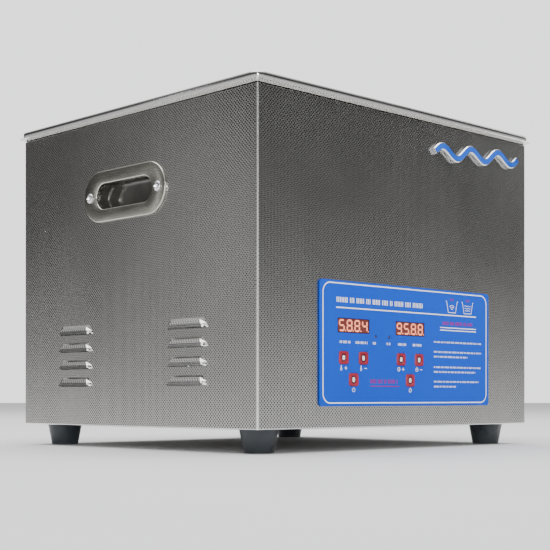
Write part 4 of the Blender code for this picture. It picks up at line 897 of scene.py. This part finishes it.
SEGMENTS = {
    "a": ((0, 1), (1, 1)), "b": ((1, 0.5), (1, 1)), "c": ((1, 0), (1, 0.5)), "d": ((0, 0), (1, 0)),
    "e": ((0, 0), (0, 0.5)), "f": ((0, 0.5), (0, 1)), "g": ((0, 0.5), (1, 0.5)),
}
NUMERALS = {"0": "abcdef", "4": "bcfg", "5": "acdfg", "8": "abcdefg", "9": "abcdfg"}


def segment(start, end, thick):
    """One bar of a numeral, pointed at both ends."""
    start, end = Vector(start), Vector(end)
    way = (end - start).normalized()
    across = Vector((-way.y, way.x)) * thick / 2
    start += way * 0.2 * MM
    end -= way * 0.2 * MM
    taper = way * thick / 2
    outline = [
        start, start + taper - across, end - taper - across,
        end, end - taper + across, start + taper + across,
    ]
    return prism([tuple(p) for p in outline], *INK)


def build_displays():
    """Four glowing numerals with points on each tinted window."""
    wide, tall, pitch, thick = 5.4 * MM, 8.4 * MM, 9.3 * MM, 1.35 * MM
    for node, numerals in (("display_heat", "5884"), ("display_timer", "9588")):
        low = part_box(node)[0]
        centre = middle(node)
        shells = []
        for i, numeral in enumerate(numerals):
            x0 = (i - 1.5) * pitch - wide / 2
            for key in NUMERALS[numeral]:
                start, end = [(x0 + wide * x, tall * (y - 0.5)) for x, y in SEGMENTS[key]]
                shells.append(segment(start, end, thick))
            shells.append(prism(moved(circle(0.65 * MM, 12), x0 + wide + 1.7 * MM, -tall / 2), *INK))
        piece(node + "_numerals", shells, DIGIT, (centre.x, low.y, centre.z), FRONT)
        window = rounded(38.4 * MM, 11.8 * MM, 0.8 * MM, 6)
        inner = rounded(37 * MM, 10.6 * MM, 0.6 * MM, 6)
        bezel = loop((window, -0.25 * MM), (window, 0.25 * MM), (inner, 0.25 * MM), (inner, -0.25 * MM))
        piece(node + "_bezel", [bezel], DARK_BEZEL_AND_KEY_SHADE, (centre.x, low.y, centre.z), FRONT)


def build_lamps():
    profile = [(1.3 * MM, -3 * MM), (1.3 * MM, -0.5 * MM), (1.15 * MM, -0.2 * MM)]
    profile += [(0.8 * MM, 0.05 * MM), (0.3 * MM, 0.18 * MM)]
    dome = turned(profile, 24)
    for name, x in (("heat", 67.5 * MM), ("timer", 84.6 * MM)):
        at = (PANEL_LOW.x + x, PANEL_LOW.y, PANEL_LOW.z + 57.9 * MM)
        piece(f"lamp_{name}", [dome], LAMP, at, FRONT)


# Badge: a chrome-edged wave with a blue face


def wave_ribbon(half_width, steps_per_wave=20):
    length, swing, waves = 122 * MM, 5 * MM, 3
    count = waves * steps_per_wave
    upper, lower = [], []
    for i in range(count + 1):
        turn = 2 * math.pi * waves * i / count
        slope = swing * 2 * math.pi * waves / length * math.cos(turn)
        normal = Vector((-slope, 1)).normalized() * half_width
        x, y = length * (i / count - 0.5), swing * math.sin(turn)
        upper.append((x + normal.x, y + normal.y))
        lower.append((x - normal.x, y - normal.y))
    return lower + upper[::-1]


def build_badge():
    low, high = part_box("badge")
    centre = (low + high) / 2
    at = (centre.x, CASE_Y - CASE_D / 2, centre.z)
    facing = (FRONT[0], -math.radians(3.5), 0)
    half, thick, edge = 3.2 * MM, 3.5 * MM, 0.7 * MM
    full = wave_ribbon(half)
    body = stack((full, GAP), (full, thick - edge), (wave_ribbon(half - edge), thick))
    piece("badge_body", [body], CHROME, at, facing, replaces=("badge",), smooth=30)
    face_foot, face_top = wave_ribbon(half - 0.85 * MM), wave_ribbon(half - 0.95 * MM)
    face = stack((face_foot, thick - 0.05 * MM), (face_top, thick + 0.12 * MM))
    piece("badge_face", [face], BADGE_BLUE, at, facing, smooth=30)


# Rear: fan guard, screws, inlet pins, switch marks, hose outlet, valve lever


def build_rear():
    low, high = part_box("rear_panel")
    face = high.y
    inset = 8 * MM
    spots = [
        (x, z)
        for x in (low.x + inset, (low.x + high.x) / 2, high.x - inset)
        for z in (low.z + inset, (low.z + high.z) / 2, high.z - inset)
        if (x, z) != ((low.x + high.x) / 2, (low.z + high.z) / 2)
    ]
    for number, (x, z) in enumerate(spots):
        build_screw(f"rear_screw_{number}", (x, face, z), BACK, 3.4 * MM, 1.5 * MM, 0.02 * MM, 6 * MM)
    build_guard()
    build_inlet_pins(face)
    build_switch_marks()
    build_outlet()
    build_lever()


def build_guard():
    """Three wire hoops on four arms, each arm ending in an eye for a screw."""
    centre = middle("fan_guard")
    wire = 0.9 * MM
    eye_at = 48.8 * MM
    turns = [math.pi / 4 + math.pi / 2 * i for i in range(4)]
    hoops = [torus(radius, wire, 72, 10, wire) for radius in (14 * MM, 24 * MM, 34 * MM)]
    eye = torus(2.9 * MM, wire, 28, 8, wire)
    arms, eyes = [], []
    for turn in turns:
        points = [(r * math.cos(turn), r * math.sin(turn), wire) for r in (5 * MM, 20 * MM, 46 * MM)]
        arms.append(swept(points, wire * 0.95, 10))
        eyes.append(shifted(eye, eye_at * math.cos(turn), eye_at * math.sin(turn)))
    at = (centre.x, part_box("fan_guard")[0].y, centre.z)
    wires = hoops + arms + eyes + [torus(5 * MM, wire, 32, 8, wire)]
    piece("fan_guard_wires", wires, CHROME, at, BACK, replaces=("fan_guard",), smooth=60)
    for i, turn in enumerate(turns):
        spot = (centre.x - eye_at * math.cos(turn), at[1], centre.z + eye_at * math.sin(turn))
        build_screw(f"guard_screw_{i}", spot, BACK, 2.6 * MM, 1.6 * MM, 2 * wire, 6 * MM)


def build_inlet_pins(face):
    centre = middle("power_inlet")
    at = (centre.x, face + GAP, centre.z)
    pins = []
    for x, y in ((-7, -2), (0, 2), (7, -2)):
        blade = moved(rounded(2.2 * MM, 4.2 * MM, 0.9 * MM, 5), x * MM, y * MM)
        tip = moved(rounded(1.4 * MM, 3.4 * MM, 0.6 * MM, 5), x * MM, y * MM)
        pins.append(stack((blade, -12.9 * MM), (blade, -1.4 * MM), (tip, -0.9 * MM)))
    piece("inlet_pins", pins, BRASS, at, BACK)


def build_switch_marks():
    """The usual bar and ring on the rocker's two ends."""
    low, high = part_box("power_switch_rocker")
    centre = (low + high) / 2
    tilt = math.radians(8)
    at = (centre.x, high.y - 1.3 * MM, centre.z)
    facing = (BACK[0] - tilt, 0, BACK[2])
    shells = [stroke([(0, 4.5 * MM), (0, 8 * MM)], 0.8 * MM, 0, 0.6 * MM)]
    shells.append(stroke(moved(circle(1.9 * MM, 24), 0, -6 * MM), 0.7 * MM, 0, 0.6 * MM, closed=True))
    piece("rocker_marks", shells, PRINT_WHITE_PAINTED_GLOW, at, facing, "rocker")


def build_outlet():
    """A hose tail with three barbs and a hexagon collar at the panel."""
    low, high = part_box("drain_outlet")
    centre = (low + high) / 2
    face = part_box("rear_panel")[1].y
    end = high.y - face
    bore, pipe, barb = 4.6 * MM, 6.5 * MM, 7.9 * MM
    start = low.y - face
    root, root_end = 8.5 * MM, start + 4 * MM
    flange = 10.5 * MM
    profile = [(bore, start), (root, start), (root, root_end), (pipe, root_end), (pipe, 0.3 * MM)]
    profile += [(10 * MM, 0.3 * MM), (flange, 0.8 * MM), (flange, 4.6 * MM)]
    profile += [(9.8 * MM, 5.3 * MM), (pipe, 5.3 * MM)]
    for number in range(3):
        foot = end - (3 - number) * 7 * MM
        profile += [(pipe, foot), (barb, foot), (barb, foot + 0.5 * MM), (pipe + 0.3 * MM, foot + 6.6 * MM)]
    tip = end - 0.4 * MM
    profile += [(pipe, tip), (pipe - 0.5 * MM, end), (bore + 0.3 * MM, end), (bore, tip)]
    shell = loop(*((circle(radius, 40), z) for radius, z in profile))
    at = (centre.x, face, centre.z)
    piece("drain_hose_tail", [shell], BRASS, at, BACK, replaces=("drain_outlet",), smooth=35)
    inside, outside = circle(6.7 * MM, 6), circle(11.5 * MM, 6)
    near, far = 5.4 * MM, 9 * MM
    nut = loop((inside, near), (outside, near), (outside, far), (inside, far))
    piece("drain_nut", [nut], BRASS, at, BACK, bevel=0.4 * MM)


def build_lever():
    """A vinyl-dipped flat lever on a round hub, held by a nut."""
    low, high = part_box("drain_valve_lever")
    wide, thick, chamfer = 11 * MM, 4 * MM, 0.8 * MM
    hub_r = (high.y - low.y) / 2
    centre_y = (low.y + high.y) / 2
    axis_z = low.z + hub_r
    reach = high.x - low.x
    at = (low.x, centre_y, axis_z)
    hole = [prism(circle(4 * MM), -5 * MM, 20 * MM)]
    hub = turned([
        (hub_r - 0.6 * MM, 0), (hub_r, 0.6 * MM), (hub_r, reach - 2 * MM), (hub_r - 1 * MM, reach - 1 * MM),
    ])
    replaced = ("drain_valve_lever",)
    piece("lever_hub", [hub], LEVER_RED, at, RIGHT, "drain_lever", replaced, cutters=hole)
    length = high.z - axis_z
    whole, up = length + wide / 2, length / 2 - wide / 4
    arm = moved(rounded(wide, whole, wide / 2 - 1e-6, 12), 0, up)
    inner_r = wide / 2 - chamfer - 1e-6
    small = moved(rounded(wide - 2 * chamfer, whole - 2 * chamfer, inner_r, 12), 0, up)
    base = reach - 2 * thick
    top = base + thick
    blade = stack((small, base), (arm, base + 0.9 * MM), (arm, top - 0.9 * MM), (small, top))
    piece("lever_blade", [blade], LEVER_RED, at, RIGHT, "drain_lever", smooth=60, cutters=hole)
    nut = prism(circle(5.4 * MM, 6), reach - 1.1 * MM, reach - 0.05 * MM)
    piece("lever_nut", [nut], CHROME, at, RIGHT, "drain_lever", bevel=0.25 * MM)


def build_base_screws():
    low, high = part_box("base_plate")
    inset = 12 * MM
    number = 0
    for x in (low.x + 60 * MM, (low.x + high.x) / 2, high.x - 60 * MM):
        for y in (low.y + inset, high.y - inset):
            build_screw(f"base_screw_{number}", (x, y, low.z), DOWN, 3.2 * MM, 1.4 * MM, 0.02 * MM, 5 * MM)
            number += 1


# Feet


def build_feet():
    screw = turned([(0.3 * MM, 5.6 * MM), (2.6 * MM, 5.6 * MM), (3.6 * MM, 6.6 * MM), (3.6 * MM, 7.8 * MM)])
    for name in ("foot_front_left", "foot_front_right", "foot_rear_left", "foot_rear_right"):
        low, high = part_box(name)
        centre = (low + high) / 2
        top = (high.x - low.x) / 2
        height = high.z - low.z
        foot = 12.3 * MM
        hole = 4.5 * MM
        collar = height - 1 * MM
        profile = [
            (hole, 8 * MM), (hole, 0.6 * MM), (hole + 0.6 * MM, 0), (foot - 1.0 * MM, 0),
            (foot - 0.3 * MM, 0.3 * MM), (foot, 1.0 * MM), (top - 0.5 * MM, collar - 1.2 * MM),
            (top, collar - 0.4 * MM), (top, collar), (3 * MM, collar),
            (3 * MM, height), (1.5 * MM, height), (1.5 * MM, 8 * MM),
        ]
        shell = loop(*((circle(radius), z) for radius, z in profile))
        at = (centre.x, centre.y, low.z)
        piece(name + "_moulding", [shell], RUBBER, at, replaces=(name,), smooth=35)
        piece(name + "_screw", [screw], CHROME, at)


# Scene: floor, lights and camera


def build_stage():
    bm = bmesh.new()
    bmesh.ops.create_circle(bm, cap_ends=True, segments=96, radius=9.0)
    mesh = bpy.data.meshes.new("floor")
    bm.to_mesh(mesh)
    bm.free()
    paint = Paint("floor_looks", (0.8, 0.8, 0.8), 0.0, 0.55)
    paint.colour_by(paint.noise(3, 3), (0.77, 0.775, 0.78), (0.81, 0.81, 0.81))
    mesh.materials.append(paint.material)
    floor = bpy.data.objects.new("floor", mesh)
    bpy.context.scene.collection.objects.link(floor)


def softbox(name, at, size, power, target=(0, 0, 0.15)):
    data = bpy.data.lights.new(name, "AREA")
    data.shape = "RECTANGLE"
    data.size, data.size_y = size
    data.energy = power
    light = bpy.data.objects.new(name, data)
    light.location = at
    light.rotation_euler = (Vector(target) - Vector(at)).to_track_quat("-Z", "Y").to_euler()
    bpy.context.scene.collection.objects.link(light)


ROOM = (  # brightness by the sine of the elevation
    (0.0, 0.74), (0.03, 0.50), (0.08, 0.17), (0.18, 0.04), (0.29, 0.09), (0.42, 0.42), (0.95, 1.5),
)
BACKDROP = 1.9


def build_lights():
    softbox("overhead", (0.0, 0.2, 2.4), (2.6, 2.6), 92)
    softbox("behind_camera", (-1.75, -1.95, 0.42), (0.34, 0.9), 26, (-0.18, -0.17, 0.15))
    softbox("left_window", (-1.75, 1.62, 0.55), (0.06, 0.55), 0.35, (-0.18, -0.13, 0.2))
    softbox("fill", (2.3, -0.7, 1.2), (0.9, 0.9), 8)
    world = bpy.data.worlds.new("studio")
    bpy.context.scene.world = world
    world.use_nodes = True
    nodes = world.node_tree.nodes
    link = world.node_tree.links.new
    nodes.clear()
    height = nodes.new("ShaderNodeSeparateXYZ")
    link(nodes.new("ShaderNodeTexCoord").outputs["Generated"], height.inputs[0])
    ramp = nodes.new("ShaderNodeValToRGB")
    link(height.outputs["Z"], ramp.inputs[0])
    stops = ramp.color_ramp.elements
    for number, (position, level) in enumerate(ROOM):
        stop = stops[number] if number < 2 else stops.new(position)
        stop.position = position
        stop.color = (level, level, level * 1.01, 1)
    room = nodes.new("ShaderNodeBackground")
    link(ramp.outputs["Color"], room.inputs["Color"])
    backdrop = nodes.new("ShaderNodeBackground")
    backdrop.inputs["Color"].default_value = (0.985, 0.99, 1.0, 1)
    backdrop.inputs["Strength"].default_value = BACKDROP
    seen = nodes.new("ShaderNodeLightPath")
    mix = nodes.new("ShaderNodeMixShader")
    link(seen.outputs["Is Camera Ray"], mix.inputs[0])
    link(room.outputs[0], mix.inputs[1])
    link(backdrop.outputs[0], mix.inputs[2])
    link(mix.outputs[0], nodes.new("ShaderNodeOutputWorld").inputs[0])


def build_camera():
    data = bpy.data.cameras.new("camera")
    data.sensor_width = 36
    data.lens = 82.28
    data.shift_y = 0.2224
    camera = bpy.data.objects.new("camera", data)
    camera.location = (-0.8372, -0.8693, 0.0441)
    camera.rotation_euler = (math.pi / 2, 0, math.radians(-44.12))
    bpy.context.scene.collection.objects.link(camera)
    bpy.context.scene.camera = camera


dress_cad()
build_tank()
build_strainer()
build_lid()
build_bow()
build_handles()
build_border()
build_icons()
build_small_print()
build_key_marks()
build_keys()
build_displays()
build_lamps()
build_badge()
build_rear()
build_base_screws()
build_feet()
build_stage()
build_lights()
build_camera()

bpy.context.view_layer.update()
